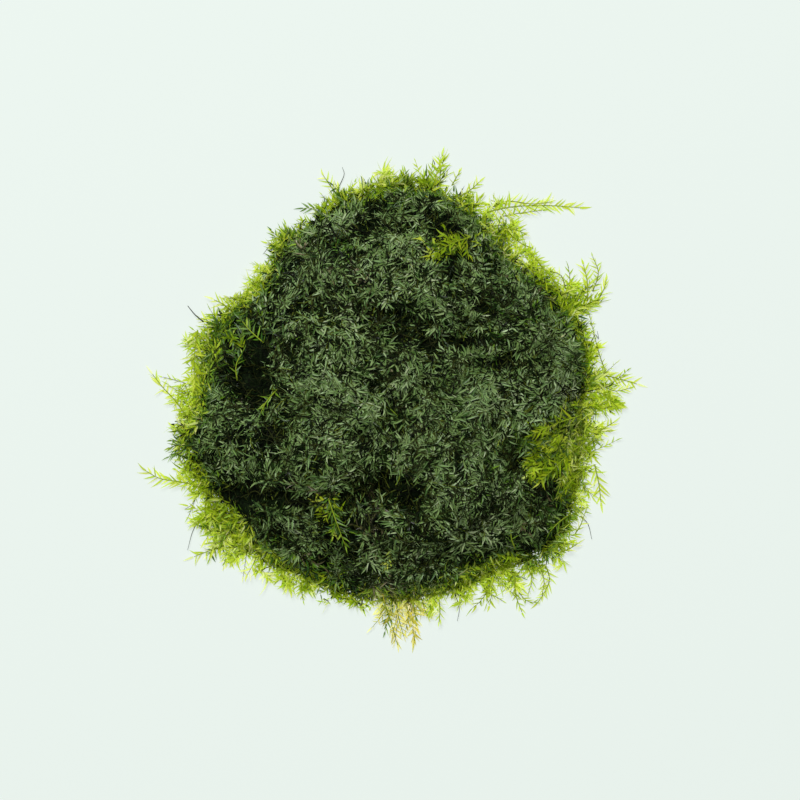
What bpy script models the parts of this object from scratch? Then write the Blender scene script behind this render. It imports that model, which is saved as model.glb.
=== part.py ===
"""A wet, flattened clump of fissidens moss: the tangled mat with its ragged rim of leaf tips, and the
leafy shoots that lie out of the rim and across the top. Metres, +Z up. The clump rests on its flat
underside at z = 0, with the origin under the middle of its footprint, and lies as it is seen from above."""

import math
import random

import bmesh
import bpy
from mathutils import Matrix, Vector, noise
from mathutils.bvhtree import BVHTree

MM = 0.001

# The mat: its height, and the sheet of leaf tips that spreads round its foot
MAT_HEIGHT = 16.2
DOME_FLATNESS = 2.4
DOME_EDGE = 0.55
MAT_FINENESS = 5
MOUND_FOOT = 0.5
MOUND_FOOT_SHARE = 0.995
SHEET_THICKNESS = 1.1
LUMP_RISE = 2.2
LUMP_WIDTH = 6.5

# Radius of the dense mat, and how far its loose leaf tips reach, every 10 degrees from +X towards +Y
MAT_RADII = (
    41.0, 42.6, 43.4, 43.2, 41.0, 40.0, 42.2, 44.4, 46.6, 46.4, 44.6, 43.0,
    41.2, 39.8, 38.7, 39.4, 41.4, 41.6, 43.3, 45.6, 45.2, 45.4, 46.0, 44.0,
    42.6, 42.6, 42.9, 42.8, 42.6, 42.6, 42.4, 45.2, 45.6, 44.2, 42.6, 41.6,
)
RIM_REACH = (
    49.0, 46.8, 46.4, 49.0, 45.6, 46.0, 49.0, 48.2, 49.4, 49.6, 48.0, 46.0,
    45.2, 43.0, 41.6, 44.6, 46.6, 46.6, 48.6, 49.2, 49.2, 49.0, 50.4, 49.6,
    45.8, 45.6, 45.4, 45.2, 47.4, 45.8, 48.4, 49.6, 50.2, 48.6, 48.4, 46.6,
)

# Hollows and swellings of the mat's top: x, y, half length, half width, turn in degrees, rise
MAT_FORM = {
    "fold along the upper edge": (-0.5, 45.0, 15.0, 4.2, 2, 3.4),
    "groove under the fold, left": (-10.0, 36.8, 6.5, 2.2, 36, -3.2),
    "groove under the fold, right": (4.5, 39.0, 7.5, 2.2, -6, -3.2),
    "upper swelling": (-1.0, 31.0, 10.0, 5.5, -8, 1.4),
    "middle gash": (-0.4, 17.4, 9.5, 2.6, -14, -3.8),
    "pit beside the gash": (15.2, 14.1, 3.4, 2.4, 0, -2.4),
    "left swelling": (-11.0, 9.0, 9.0, 7.0, 0, 1.8),
    "left long pit": (-31.5, 5.9, 6.8, 3.0, 90, -4.0),
    "left round pit": (-25.4, -5.4, 3.6, 2.8, 0, -2.6),
    "middle swelling": (-15.2, -8.3, 8.0, 6.0, 20, 1.4),
    "lower left pit": (-33.7, -19.1, 4.4, 3.2, 60, -3.0),
    "lower left knob": (-21.7, -26.1, 3.6, 3.6, 0, 1.8),
    "pit above the knob": (-23.3, -20.6, 4.0, 2.0, 0, -2.6),
    "lower hollow": (-2.2, -21.7, 8.5, 6.5, 0, -4.2),
    "knob in the lower hollow": (-0.6, -23.2, 2.8, 2.8, 0, 2.2),
    "lower pit": (12.0, -34.3, 3.4, 2.6, 0, -2.4),
    "lower edge pits": (-12.0, -37.4, 5.5, 2.2, -15, -2.4),
    "right swelling": (20.0, -5.0, 8.0, 7.0, 0, 1.6),
    "lower right swelling": (19.1, -21.3, 7.0, 6.0, 0, 1.8),
    "pit beside the right tuft": (26.7, -12.0, 3.8, 3.0, 90, -3.2),
    "right pits": (23.5, 9.4, 4.0, 2.8, 60, -2.6),
    "upper right pit": (22.8, 21.7, 3.2, 2.6, 0, -2.4),
    "far right pit": (35.4, 13.5, 4.4, 3.2, 80, -2.8),
    "lower right pit": (30.0, -24.6, 4.2, 3.0, 40, -3.0),
}

# Loose leaf tips fused to the mat's foot
RIM_SEED = 28
SPRIGS = 56
SPRIG_ROOT = 1.2
SPRIG_LEAF = 2.7
SPRIG_SPACING = 2.3
SPRIG_SLOT_SHARE = 0.7
SPRIG_LEAN = 26.0
SPRIG_SWEEPS = 5
SPRIG_SHIFT = 0.08
SPRIG_LEAN_SPREAD = 4.0
SPRIG_REACH = (0.96, 1.02)

# Shoots that are seen one by one: their leaves, and how they lie over the mat
SHOOT_THICKNESS = 0.7
STEM_WIDTH = 0.7
LEAF_ANGLE = 42.0
LEAF_CLOSING = 10.0
LEAF_SPACING = 2.1
END_LEAF = 0.72
CLEARANCE = 0.45
STEEPEST_TILT = 0.9
STATION_STEP = 3.4
FINE_STEP = 0.3
SAMPLES_ACROSS = 8
SETTLE_PASSES = 12

# Middle of the whole footprint in the lengths above and below; it is brought to the origin at the end
FOOTPRINT_CENTRE = (-0.16, 0.27)

# Each shoot's leaf length, and its points from root to tip
RIM_SHOOTS = {
    "shoot_upper_right_long": (3.5, (20.6, 41.2), (26.5, 42.4), (33.5, 42.7), (40.8, 42.2)),
    "shoot_upper_right_low": (2.8, (24.2, 37.8), (26.8, 37.4), (29.2, 36.3)),
    "shoot_top_tall": (3.2, (10.4, 47.0), (10.6, 50.4), (11.5, 53.4)),
    "shoot_top_slanting": (2.2, (13.0, 47.0), (14.0, 48.8), (14.8, 50.2)),
    "shoot_top_shoulder": (2.8, (14.8, 44.6), (17.0, 46.0), (19.0, 47.8)),
    "shoot_upper_left": (2.8, (-12.2, 45.4), (-13.8, 47.6), (-14.9, 49.2)),
    "shoot_left_high": (3.0, (-34.6, 19.6), (-36.6, 21.2), (-38.6, 22.2)),
    "shoot_left_comb": (3.8, (-42.2, 15.6), (-42.9, 9.0), (-42.4, 2.4)),
    "shoot_left_reaching": (3.2, (-44.6, -3.0), (-47.0, 0.2), (-49.8, 3.2), (-52.0, 6.0)),
    "shoot_left_long": (3.6, (-41.6, -18.4), (-45.6, -17.4), (-50.4, -16.6), (-53.4, -15.0)),
    "shoot_lower_left": (3.2, (-36.6, -31.2), (-39.4, -32.2), (-43.0, -33.6)),
    "shoot_lower_spike": (2.0, (-19.8, -39.2), (-19.6, -41.2), (-19.3, -43.2)),
    "shoot_bottom_yellow_left": (3.2, (-1.8, -43.4), (-0.4, -47.4), (1.2, -52.8)),
    "shoot_bottom_yellow_right": (3.2, (4.6, -43.4), (5.2, -47.8), (4.8, -52.0)),
    "shoot_bottom_right": (2.6, (10.2, -43.0), (10.4, -45.4), (10.2, -47.8)),
    "shoot_bottom_creeping": (2.0, (19.6, -40.8), (22.0, -42.0), (24.0, -43.2)),
    "shoot_hanging": (2.6, (26.6, -37.4), (26.8, -41.6), (28.2, -45.6)),
    "shoot_loop": (2.6, (33.4, -35.6), (34.2, -38.6), (33.0, -41.6), (31.6, -43.6)),
    "shoot_lower_right": (2.4, (36.4, -32.6), (38.6, -31.8), (40.6, -30.6)),
    "shoot_right_thin": (2.2, (39.8, -28.6), (41.0, -26.6), (41.8, -24.4)),
    "shoot_right_hanging": (3.4, (44.0, -13.6), (44.9, -17.8), (45.4, -21.8)),
    "shoot_right_small": (2.8, (44.4, -6.8), (46.2, -5.6), (48.2, -4.4)),
    "shoot_right_reaching": (3.2, (44.6, 6.0), (48.8, 5.2), (53.2, 3.9)),
    "shoot_right_under": (2.6, (45.4, 2.0), (47.6, 0.2), (49.2, -1.6)),
    "shoot_right_rim": (3.0, (42.4, 22.0), (42.4, 26.0), (41.6, 29.8)),
    "shoot_right_fork": (2.6, (44.2, 21.2), (46.0, 24.4), (46.6, 26.6)),
    "shoot_upper_right_rim": (2.8, (30.2, 32.2), (33.4, 28.4), (36.6, 24.6)),
}
TOP_SHOOTS = {
    "shoot_yellow_tuft": (3.0, (17.0, 35.6), (13.0, 34.2), (9.2, 31.8)),
    "shoot_right_tuft_upper": (3.4, (41.2, -2.8), (35.6, -4.6), (30.2, -7.0)),
    "shoot_right_tuft_long": (3.8, (42.2, -8.4), (37.0, -12.4), (31.6, -17.6)),
    "shoot_right_tuft_lower": (3.0, (42.0, -14.2), (39.4, -16.4), (37.2, -19.4)),
    "shoot_left_curl": (3.2, (-27.2, 12.4), (-30.4, 15.2), (-33.0, 18.2)),
    "shoot_left_twig": (2.2, (-33.4, 4.6), (-33.6, 8.0), (-32.0, 11.2)),
    "shoot_left_small": (2.6, (-24.8, 2.6), (-27.0, 0.0), (-28.2, -2.4)),
    "shoot_lower_streak": (2.8, (-13.6, -20.8), (-12.0, -25.6), (-10.0, -31.0)),
    "shoot_lower_sprig": (2.2, (26.6, -31.6), (25.8, -29.6), (25.6, -27.6)),
    "shoot_lower_right_tuft": (2.8, (38.6, -24.4), (36.2, -26.0), (34.2, -28.0)),
}
BARE_STEMS = {
    "stem_left_bare": (0.0, (-40.9, 17.4), (-42.8, 19.0), (-44.4, 20.9)),
    "stem_lower_bare": (0.0, (-8.6, -32.8), (-7.2, -36.4), (-5.7, -40.4)),
}


# Shapes seen from above


def around(values, angle):
    """The value at this angle, from values spaced evenly round the circle, eased between them."""
    place = (angle / math.tau % 1.0) * len(values)
    before = int(place) % len(values)
    share = place - int(place)
    ease = share * share * (3 - 2 * share)
    return values[before] * (1 - ease) + values[(before + 1) % len(values)] * ease


class Route:
    """A smooth line through the given points, seen from above, measured along its length."""

    STEPS = 12

    def __init__(self, *points):
        ends = [Vector(points[0]) * 2 - Vector(points[1])]
        ends += [Vector(point) for point in points]
        ends.append(Vector(points[-1]) * 2 - Vector(points[-2]))
        self.points = []
        for i in range(1, len(ends) - 2):
            for step in range(self.STEPS):
                self.points.append(smooth_between(*ends[i - 1 : i + 3], step / self.STEPS))
        self.points.append(Vector(points[-1]))
        self.at = [0.0]
        for a, b in zip(self.points, self.points[1:]):
            self.at.append(self.at[-1] + (b - a).length)
        self.length = self.at[-1]

    def place(self, s):
        """The point at length s, which may run straight on past either end, and the direction there."""
        i = max(k for k in range(len(self.at) - 1) if k == 0 or self.at[k] <= s)
        direction = (self.points[i + 1] - self.points[i]).normalized()
        return self.points[i] + direction * (s - self.at[i]), direction

    def nearest(self, point):
        """How far along the line the place nearest to this point is."""
        best = None
        for i, (a, b) in enumerate(zip(self.points, self.points[1:])):
            run = b - a
            share = (point - a).dot(run) / run.length_squared
            low = -9.0 if i == 0 else 0.0
            high = 9.0 if i == len(self.points) - 2 else 1.0
            share = min(max(share, low), high)
            gap = (point - a - run * share).length
            if best is None or gap < best[0]:
                best = (gap, self.at[i] + share * run.length)
        return best[1]


def smooth_between(a, b, c, d, t):
    """A point between b and c on the smooth line through a, b, c and d."""
    bend = (a * 2 - b * 5 + c * 4 - d) * t * t
    twist = (b * 3 - a - c * 3 + d) * t * t * t
    return (b * 2 + (c - a) * t + bend + twist) * 0.5


def beside(route, s, gap):
    """The point this far to the left of the line at length s, and the direction there."""
    point, along = route.place(s)
    return point + Vector((-along.y, along.x)) * gap, along


def bare_stem(route):
    """Outline of a stem with no leaves, half as wide at its tip as at its root."""
    right, left = [], []
    for share in (0.0, 0.5, 1.0):
        half = STEM_WIDTH / 2 * (1 - 0.5 * share)
        right.append(beside(route, share * route.length, -half)[0])
        left.append(beside(route, share * route.length, half)[0])
    return right + left[::-1]


def feather(route, leaf, spacing):
    """Outline of a leafy shoot: up its right side, round its tip and down its left, leaves alternating."""
    count = max(2, round(route.length / spacing))
    sides = []
    for hand, shift in ((-1, 0.0), (1, 0.5)):
        points = []
        for i in range(count):
            share = (i + shift) / count
            foot, along = beside(route, share * route.length, hand * STEM_WIDTH / 2)
            across = Vector((-along.y, along.x)) * hand
            size = leaf * (END_LEAF + (1 - END_LEAF) * math.sin(math.pi * min(1.0, share + 0.15)))
            angle = math.radians(LEAF_ANGLE - LEAF_CLOSING * share)
            points.append(foot)
            points.append(foot + along * size * math.cos(angle) + across * size * math.sin(angle))
        points.append(beside(route, route.length, hand * STEM_WIDTH / 2)[0])
        sides.append(points)
    end, along = route.place(route.length)
    return sides[0] + [end + along * leaf * END_LEAF] + sides[1][::-1]


def rim_outline(rng):
    """Outline of the sheet of leaf tips round the mat's foot: one short leafy sprig after another."""
    outline = []
    for k in range(SPRIGS):
        angle = math.tau * (k + rng.uniform(-SPRIG_SHIFT, SPRIG_SHIFT)) / SPRIGS
        outward = Vector((math.cos(angle), math.sin(angle)))
        root = outward * (around(MAT_RADII, angle) - SPRIG_ROOT)
        lean = SPRIG_LEAN * math.sin(SPRIG_SWEEPS * angle)
        lean = math.radians(lean + rng.uniform(-SPRIG_LEAN_SPREAD, SPRIG_LEAN_SPREAD))
        reach = around(RIM_REACH, angle) * rng.uniform(*SPRIG_REACH)
        length = reach - root.length - SPRIG_LEAF * END_LEAF
        tip = root + Matrix.Rotation(lean, 2) @ outward * length
        slot = math.tau * root.length / SPRIGS * math.cos(lean) * SPRIG_SLOT_SHARE
        leaf = min(SPRIG_LEAF, slot / 2 / math.sin(math.radians(LEAF_ANGLE)))
        outline += feather(Route(root, (root + tip) / 2, tip), leaf, SPRIG_SPACING)
    return outline


# Solids


def flat_solid(name, outline, thickness):
    """A mesh object of this outline, from z = 0 up to its thickness."""
    curve = bpy.data.curves.new(name, "CURVE")
    curve.dimensions = "2D"
    curve.fill_mode = "BOTH"
    curve.extrude = thickness / 2 * MM
    spline = curve.splines.new("POLY")
    spline.points.add(len(outline) - 1)
    for target, point in zip(spline.points, outline):
        target.co = (point.x * MM, point.y * MM, 0, 1)
    spline.use_cyclic_u = True
    flat = bpy.data.objects.new(name, curve)
    bpy.context.scene.collection.objects.link(flat)
    bpy.context.view_layer.update()
    graph = bpy.context.evaluated_depsgraph_get()
    mesh = bpy.data.meshes.new_from_object(flat.evaluated_get(graph))
    bpy.data.objects.remove(flat)
    bm = bmesh.new()
    bm.from_mesh(mesh)
    bmesh.ops.remove_doubles(bm, verts=bm.verts, dist=0.01 * MM)
    bmesh.ops.translate(bm, verts=bm.verts, vec=(0, 0, thickness / 2 * MM))
    bmesh.ops.recalc_face_normals(bm, faces=bm.faces)
    bm.to_mesh(mesh)
    bm.free()
    mesh.name = name
    return bpy.data.objects.new(name, mesh)


def top_height(x, y, share):
    """Height of the mat's top at this place, a share of the way from its middle to its edge."""
    height = MAT_HEIGHT * (1 - share**DOME_FLATNESS) ** DOME_EDGE
    calm = min(1.0, (1 - share) * 5)
    for u, v, half_length, half_width, turn, rise in MAT_FORM.values():
        angle = math.radians(turn)
        along = (x - u) * math.cos(angle) + (y - v) * math.sin(angle)
        across = (y - v) * math.cos(angle) - (x - u) * math.sin(angle)
        height += rise * calm * math.exp(-((along / half_length) ** 2 + (across / half_width) ** 2))
    place = Vector((x, y, 3.7)) / LUMP_WIDTH
    lump = noise.noise(place) + 0.6 * noise.noise(place * 2.1)
    return max(height + LUMP_RISE * calm * lump, MOUND_FOOT)


def mat_mound():
    """The dense body of the mat: half a ball, reshaped to the mat's outline and top."""
    bm = bmesh.new()
    bmesh.ops.create_icosphere(bm, subdivisions=MAT_FINENESS, radius=1)
    whole = bm.verts[:] + bm.edges[:] + bm.faces[:]
    bmesh.ops.bisect_plane(bm, geom=whole, dist=1e-3, plane_no=(0, 0, 1), clear_inner=True)
    bmesh.ops.holes_fill(bm, edges=[edge for edge in bm.edges if edge.is_boundary])
    for vert in bm.verts:
        angle = math.atan2(vert.co.y, vert.co.x)
        from_middle = math.atan2(math.hypot(vert.co.x, vert.co.y), max(vert.co.z, 0))
        share = from_middle / (math.pi / 2)
        radius = share * around(MAT_RADII, angle)
        x, y = radius * math.cos(angle), radius * math.sin(angle)
        z = MOUND_FOOT if share > MOUND_FOOT_SHARE else top_height(x, y, share)
        vert.co = Vector((x, y, z)) * MM
    bmesh.ops.recalc_face_normals(bm, faces=bm.faces)
    mesh = bpy.data.meshes.new("mat_mound")
    bm.to_mesh(mesh)
    bm.free()
    return bpy.data.objects.new("mat_mound", mesh)


def make_mat(parts, cutters):
    """The mat: its mound joined with the sheet of leaf tips round its foot."""
    mat = flat_solid("mat", rim_outline(random.Random(RIM_SEED)), SHEET_THICKNESS)
    mound = mat_mound()
    mound.hide_render = True
    mound.display_type = "WIRE"
    parts.objects.link(mat)
    cutters.objects.link(mound)
    union = mat.modifiers.new("mound", "BOOLEAN")
    union.operation = "UNION"
    union.solver = "EXACT"
    union.object = mound
    return mat


def surface_of(obj):
    """The object's surface, for measuring heights on it."""
    bpy.context.view_layer.update()
    graph = bpy.context.evaluated_depsgraph_get()
    return BVHTree.FromObject(obj, graph)


def height_on(surface, point):
    """Height of the surface at this place, or 0 beside it."""
    above = Vector((point.x * MM, point.y * MM, MAT_HEIGHT * 2 * MM))
    hit = surface.ray_cast(above, Vector((0, 0, -1)))[0]
    return hit.z / MM if hit else 0.0


def lie_of(route, surface, leaf):
    """How a shoot lies over what is under it: at stations along it, its height and its slope across."""
    past = leaf + 1.0
    half = leaf * math.sin(math.radians(LEAF_ANGLE)) + STEM_WIDTH
    count = math.ceil((route.length + 2 * past) / STATION_STEP) + 1
    step = (route.length + 2 * past) / (count - 1)
    stations = [i * step - past for i in range(count)]
    places = [half * w / SAMPLES_ACROSS for w in range(-SAMPLES_ACROSS, SAMPLES_ACROSS + 1)]

    def heights(s):
        point, along = route.place(s)
        across = Vector((-along.y, along.x))
        found = [height_on(surface, point + across * w) for w in places]
        return [height + CLEARANCE if height > 0 else 0.0 for height in found]

    slopes = []
    for s in stations:
        found = heights(s)
        right, left = sum(found[:SAMPLES_ACROSS]), sum(found[SAMPLES_ACROSS + 1 :])
        tilt = (left - right) / sum(places[SAMPLES_ACROSS + 1 :]) / 2
        slopes.append(max(-STEEPEST_TILT, min(STEEPEST_TILT, tilt)))
    needs = [[] for _ in stations]
    for k in range(int(step * (count - 1) / FINE_STEP) + 1):
        i = min(int(k * FINE_STEP / step), count - 2)
        share = k * FINE_STEP / step - i
        slope = slopes[i] * (1 - share) + slopes[i + 1] * share
        found = heights(stations[0] + k * FINE_STEP)
        need = max(height - slope * w for height, w in zip(found, places))
        needs[i].append((need, 1 - share, i + 1))
        needs[i + 1].append((need, share, i))
    lie = [max(need for need, _, _ in near) for near in needs]
    for _ in range(SETTLE_PASSES):
        for i, near in enumerate(needs):
            lows = [(need - (1 - own) * lie[other]) / own for need, own, other in near if own > 0.01]
            lie[i] = min(lie[i], max(lows))
    return stations, lie, slopes


def between(stations, values, s):
    """The value at length s, straight from station to station."""
    i = min(max(1, sum(1 for station in stations if station <= s)), len(stations) - 1)
    share = (s - stations[i - 1]) / (stations[i] - stations[i - 1])
    return values[i - 1] * (1 - share) + values[i] * share


def make_shoot(name, leaf, points, surface, parts):
    """One leafy shoot, or a bare stem: a thin solid that lies over the mat and down to the ground."""
    route = Route(*points)
    outline = feather(route, leaf, LEAF_SPACING) if leaf else bare_stem(route)
    shoot = flat_solid(name, outline, SHOOT_THICKNESS)
    stations, lie, slopes = lie_of(route, surface, leaf)
    bm = bmesh.new()
    bm.from_mesh(shoot.data)
    for s in stations[1:-1]:
        point, along = route.place(s)
        whole = bm.verts[:] + bm.edges[:] + bm.faces[:]
        place = Vector((point.x, point.y, 0)) * MM
        bmesh.ops.bisect_plane(bm, geom=whole, dist=1e-6, plane_co=place, plane_no=(along.x, along.y, 0))
    for vert in bm.verts:
        flat = vert.co.xy / MM
        s = route.nearest(flat)
        point, along = route.place(s)
        side = (flat - point).dot(Vector((-along.y, along.x)))
        vert.co.z += (between(stations, lie, s) + side * between(stations, slopes, s)) * MM
    bm.to_mesh(shoot.data)
    bm.free()
    parts.objects.link(shoot)
    return shoot


# Finishes


def finish(name, colour, roughness):
    """A leaf finish: no metal, wet enough for a soft shine."""
    material = bpy.data.materials.new(name)
    material.use_nodes = True
    shader = material.node_tree.nodes["Principled BSDF"]
    shader.inputs["Base Color"].default_value = (*colour, 1)
    shader.inputs["Roughness"].default_value = roughness
    shader.inputs["Metallic"].default_value = 0
    return material


def clear_scene():
    for obj in list(bpy.data.objects):
        bpy.data.objects.remove(obj)


def main():
    clear_scene()
    parts = bpy.data.collections.new("fissidens_moss")
    cutters = bpy.data.collections.new("joined_shapes")
    for collection in (parts, cutters):
        bpy.context.scene.collection.children.link(collection)
    deep_green = finish("wet moss", (0.036, 0.062, 0.018), 0.4)
    fresh_green = finish("fresh shoot", (0.28, 0.42, 0.03), 0.45)
    stem_brown = finish("bare stem", (0.05, 0.06, 0.02), 0.5)
    mat = make_mat(parts, cutters)
    mat.data.materials.append(deep_green)
    surface = surface_of(mat)
    for name, (leaf, *points) in {**RIM_SHOOTS, **TOP_SHOOTS, **BARE_STEMS}.items():
        shoot = make_shoot(name, leaf, points, surface, parts)
        shoot.data.materials.append(fresh_green if leaf else stem_brown)
    to_origin = Matrix.Translation((-FOOTPRINT_CENTRE[0] * MM, -FOOTPRINT_CENTRE[1] * MM, 0))
    for obj in parts.objects[:] + cutters.objects[:]:
        obj.data.transform(to_origin)


main()
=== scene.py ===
"""A wet, flattened clump of fissidens moss seen from straight above: dark interlaced leafy shoots over a
packed heart, and bright fresh shoots all round the rim and in tufts on top. Lengths are in millimetres
until a mesh is made, in the same frame as the solids."""

import math

import bmesh
import bpy
import numpy as np
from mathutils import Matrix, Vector, noise
from mathutils.bvhtree import BVHTree


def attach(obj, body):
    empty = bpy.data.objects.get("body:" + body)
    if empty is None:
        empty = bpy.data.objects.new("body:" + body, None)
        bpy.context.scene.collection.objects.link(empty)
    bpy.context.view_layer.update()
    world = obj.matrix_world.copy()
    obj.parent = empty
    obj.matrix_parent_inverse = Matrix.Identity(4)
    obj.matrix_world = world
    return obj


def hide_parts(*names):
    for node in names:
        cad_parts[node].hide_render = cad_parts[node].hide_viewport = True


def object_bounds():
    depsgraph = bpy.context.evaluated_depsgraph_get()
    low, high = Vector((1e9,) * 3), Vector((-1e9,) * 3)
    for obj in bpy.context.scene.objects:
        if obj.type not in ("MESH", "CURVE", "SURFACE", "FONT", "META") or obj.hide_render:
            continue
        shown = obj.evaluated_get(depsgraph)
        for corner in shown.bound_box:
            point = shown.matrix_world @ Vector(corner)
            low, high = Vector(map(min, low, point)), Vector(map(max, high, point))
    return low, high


MM = 0.001
UPWARDS = (0.0, 0.0, 1.0)

# The photograph looks straight down, with 4.6 of its 800 pixels to the millimetre, at a place a little
# beside the clump's middle. Places on the clump are measured from that middle, pixel (392, 402) there
VIEW_WIDTH = 173.9
VIEW_CENTRE = (1.90, 0.16)
CAMERA_HEIGHT = 1200.0
SENSOR_WIDTH = 36
VIEW_DEPTH = 20000.0
CLUMP_CENTRE = (0.16, -0.27)

# Radius of the dense mat, every 10 degrees from +X towards +Y
MAT_RADII = (
    41.0, 42.6, 43.4, 43.2, 41.0, 40.0, 42.2, 44.4, 46.6, 46.4, 44.6, 43.0,
    41.2, 39.8, 38.7, 39.4, 41.4, 41.6, 43.3, 45.6, 45.2, 45.4, 46.0, 44.0,
    42.6, 42.6, 42.9, 42.8, 42.6, 42.6, 42.4, 45.2, 45.6, 44.2, 42.6, 41.6,
)
MAT_EDGE = tuple(zip(range(0, 360, 10), MAT_RADII))

# Leaf families, one row each of the leaf map, and the map's columns, one for each tone
# The shaded family is painted shade: leaves coloured near black for the dark depths of the mat
WET, GREEN, FRESH, OLD, STEM, PAINTED_SHADE, YELLOW = range(7)
FAMILIES = 7
TONES = 64
# A leaf keeps this share of a column and a row clear on each side, so that no tone bleeds into the next
MAP_MARGIN = 0.04

# A leaf is modelled one unit long, and its rows are found this near their place
NEAR = 0.01

# Points along a shoot, and along one that is seen by itself
STATIONS = 7
SINGLE_STATIONS = 13
# Straight steps of a smooth line between two of the points it goes through
STEPS_BETWEEN = 12
# The fewest leaves on each side of a shoot, and the lowest that a leaf lies over the ground
FEWEST_A_SIDE = 3
LOWEST = 0.03

# Dense shoots
DENSE_LENGTH = (5.5, 10.0)
DENSE_LEAF = (1.9, 3.2)
DENSE_SPACING = 1.05
DENSE_STEM_RADIUS = 0.12
# They lie combed in swirls, with smaller eddies in them
SWIRL_SIZE = 17
SWIRL_TURNS = 1.1
EDDY_SIZE = 6.5
EDDY_TURNS = 0.45
# From this share of the way out, and over the next, the comb turns straight outwards
BRUSHED_FROM = 0.72
BRUSHED_OVER = 0.25
# The share of them that lies the other way round, and how much each bends from step to step
AGAINST_THE_COMB = 0.22
BEND = 0.12
# They stand this far out of the mat where a lump's rise is 1, and sink as far where a hollow's is -1
RELIEF = 0.4
# Their tone comes and goes over this length by this much, and this share of them is old
MOTTLE_SIZE = 5
MOTTLE = 0.08
OLD_SHARE = 0.01
# A hollow's leaves are painted darker as shade and a lump's painted lighter as light by this much tone, and
# leaves that aren't wet by less
HOLLOW_SHADE = 0.36
LUMP_LIGHT = 0.17
OTHER_SHADE = 0.18
# By the edge of the dark leaves they turn green, and then fresh: shares of the way out
GREEN_FROM = 0.94
FRESH_FROM = 0.99
# The wet weight presses the shoots into the mat, more where it stands higher
SINK = 0.07

# Fresh rim shoots: a low fringe all round, and the tufts below
FRINGE_SHOOTS = 260
RIM_LEAF = (1.8, 3.4)
RIM_SPACING = 1.35
RIM_STEM_RADIUS = 0.11
# Their roots lie this far inside the mat's edge, and the shortest of them is this long
RIM_ROOT_DEPTH = (0.3, 2.4)
SHORTEST_RIM_SHOOT = 2.2
# Their tip leaves reach this far past their stems, which rise from just over the ground and bend a little
TIP_LEAF_REACH = 0.8
RIM_CLEARANCE = 0.15
RIM_TIP_LIFT = 0.7
RIM_BEND = 0.11
# This share of them is fresh, or of its tuft's own family, and the others are green
FRINGE_FRESH = 0.85
TUFT_OWN_FAMILY = 0.88

# Bare dark stems that wind over the mat, their near black also painted shade for the gaps between leaves
BARE_STEMS = 2100
BARE_STEM_LENGTH = (2.5, 6.5)
BARE_STEM_LIFT = (0.7, 1.4)
BARE_STEM_RADIUS = 0.12

# Fresh tufts on top of the mat
TUFT_LENGTH = (2.5, 5.5)
TUFT_LEAF = (1.8, 2.8)
TUFT_LIFT = (0.1, 0.9)
TUFT_SPACING = 1.0
TUFT_STEM_RADIUS = 0.1

# Loose strands and threads of the rim, and the shoots that are seen one by one
STRAND_SPACING = 1.1
STRAND_STEM_RADIUS = 0.12
THREAD_RADIUS = 0.09
SINGLE_SPACING = 1.15
SINGLE_STEM_RADIUS = 0.16
# A single shoot's stem lies this far under the top of its solid
SINGLE_DEPTH = 0.3

# Shoots pressed flat between the clump and what it lies on
UNDERSIDE_SHOOTS = 1200
UNDERSIDE_LENGTH = (5.0, 9.0)
UNDERSIDE_HEIGHT = (0.06, 0.24)
UNDERSIDE_LEAVES_A_SIDE = 6

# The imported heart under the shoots: its share of the mat's radius, its depth under the mat's surface,
# and the size and height of its lumps
HEART_SHARE = 0.98
HEART_DEPTH = 1.3
HEART_LUMP_SIZE = 1.6
HEART_LUMP_HEIGHT = 0.5
# Its flat underside, and the lowest that its top comes down by the edge
HEART_UNDERSIDE = 0.25
HEART_LOWEST_TOP = 0.4
# Its old stems lie about this far apart
STRAND_GAP = 0.6

# The stage
TABLE_SIZE = 6000
LAMP_SIZE = 450
LAMP_PLACE = (-200, 500, 1100)
LAMP_WATTS = 24
ROOM_LIGHT = 0.3

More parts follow.
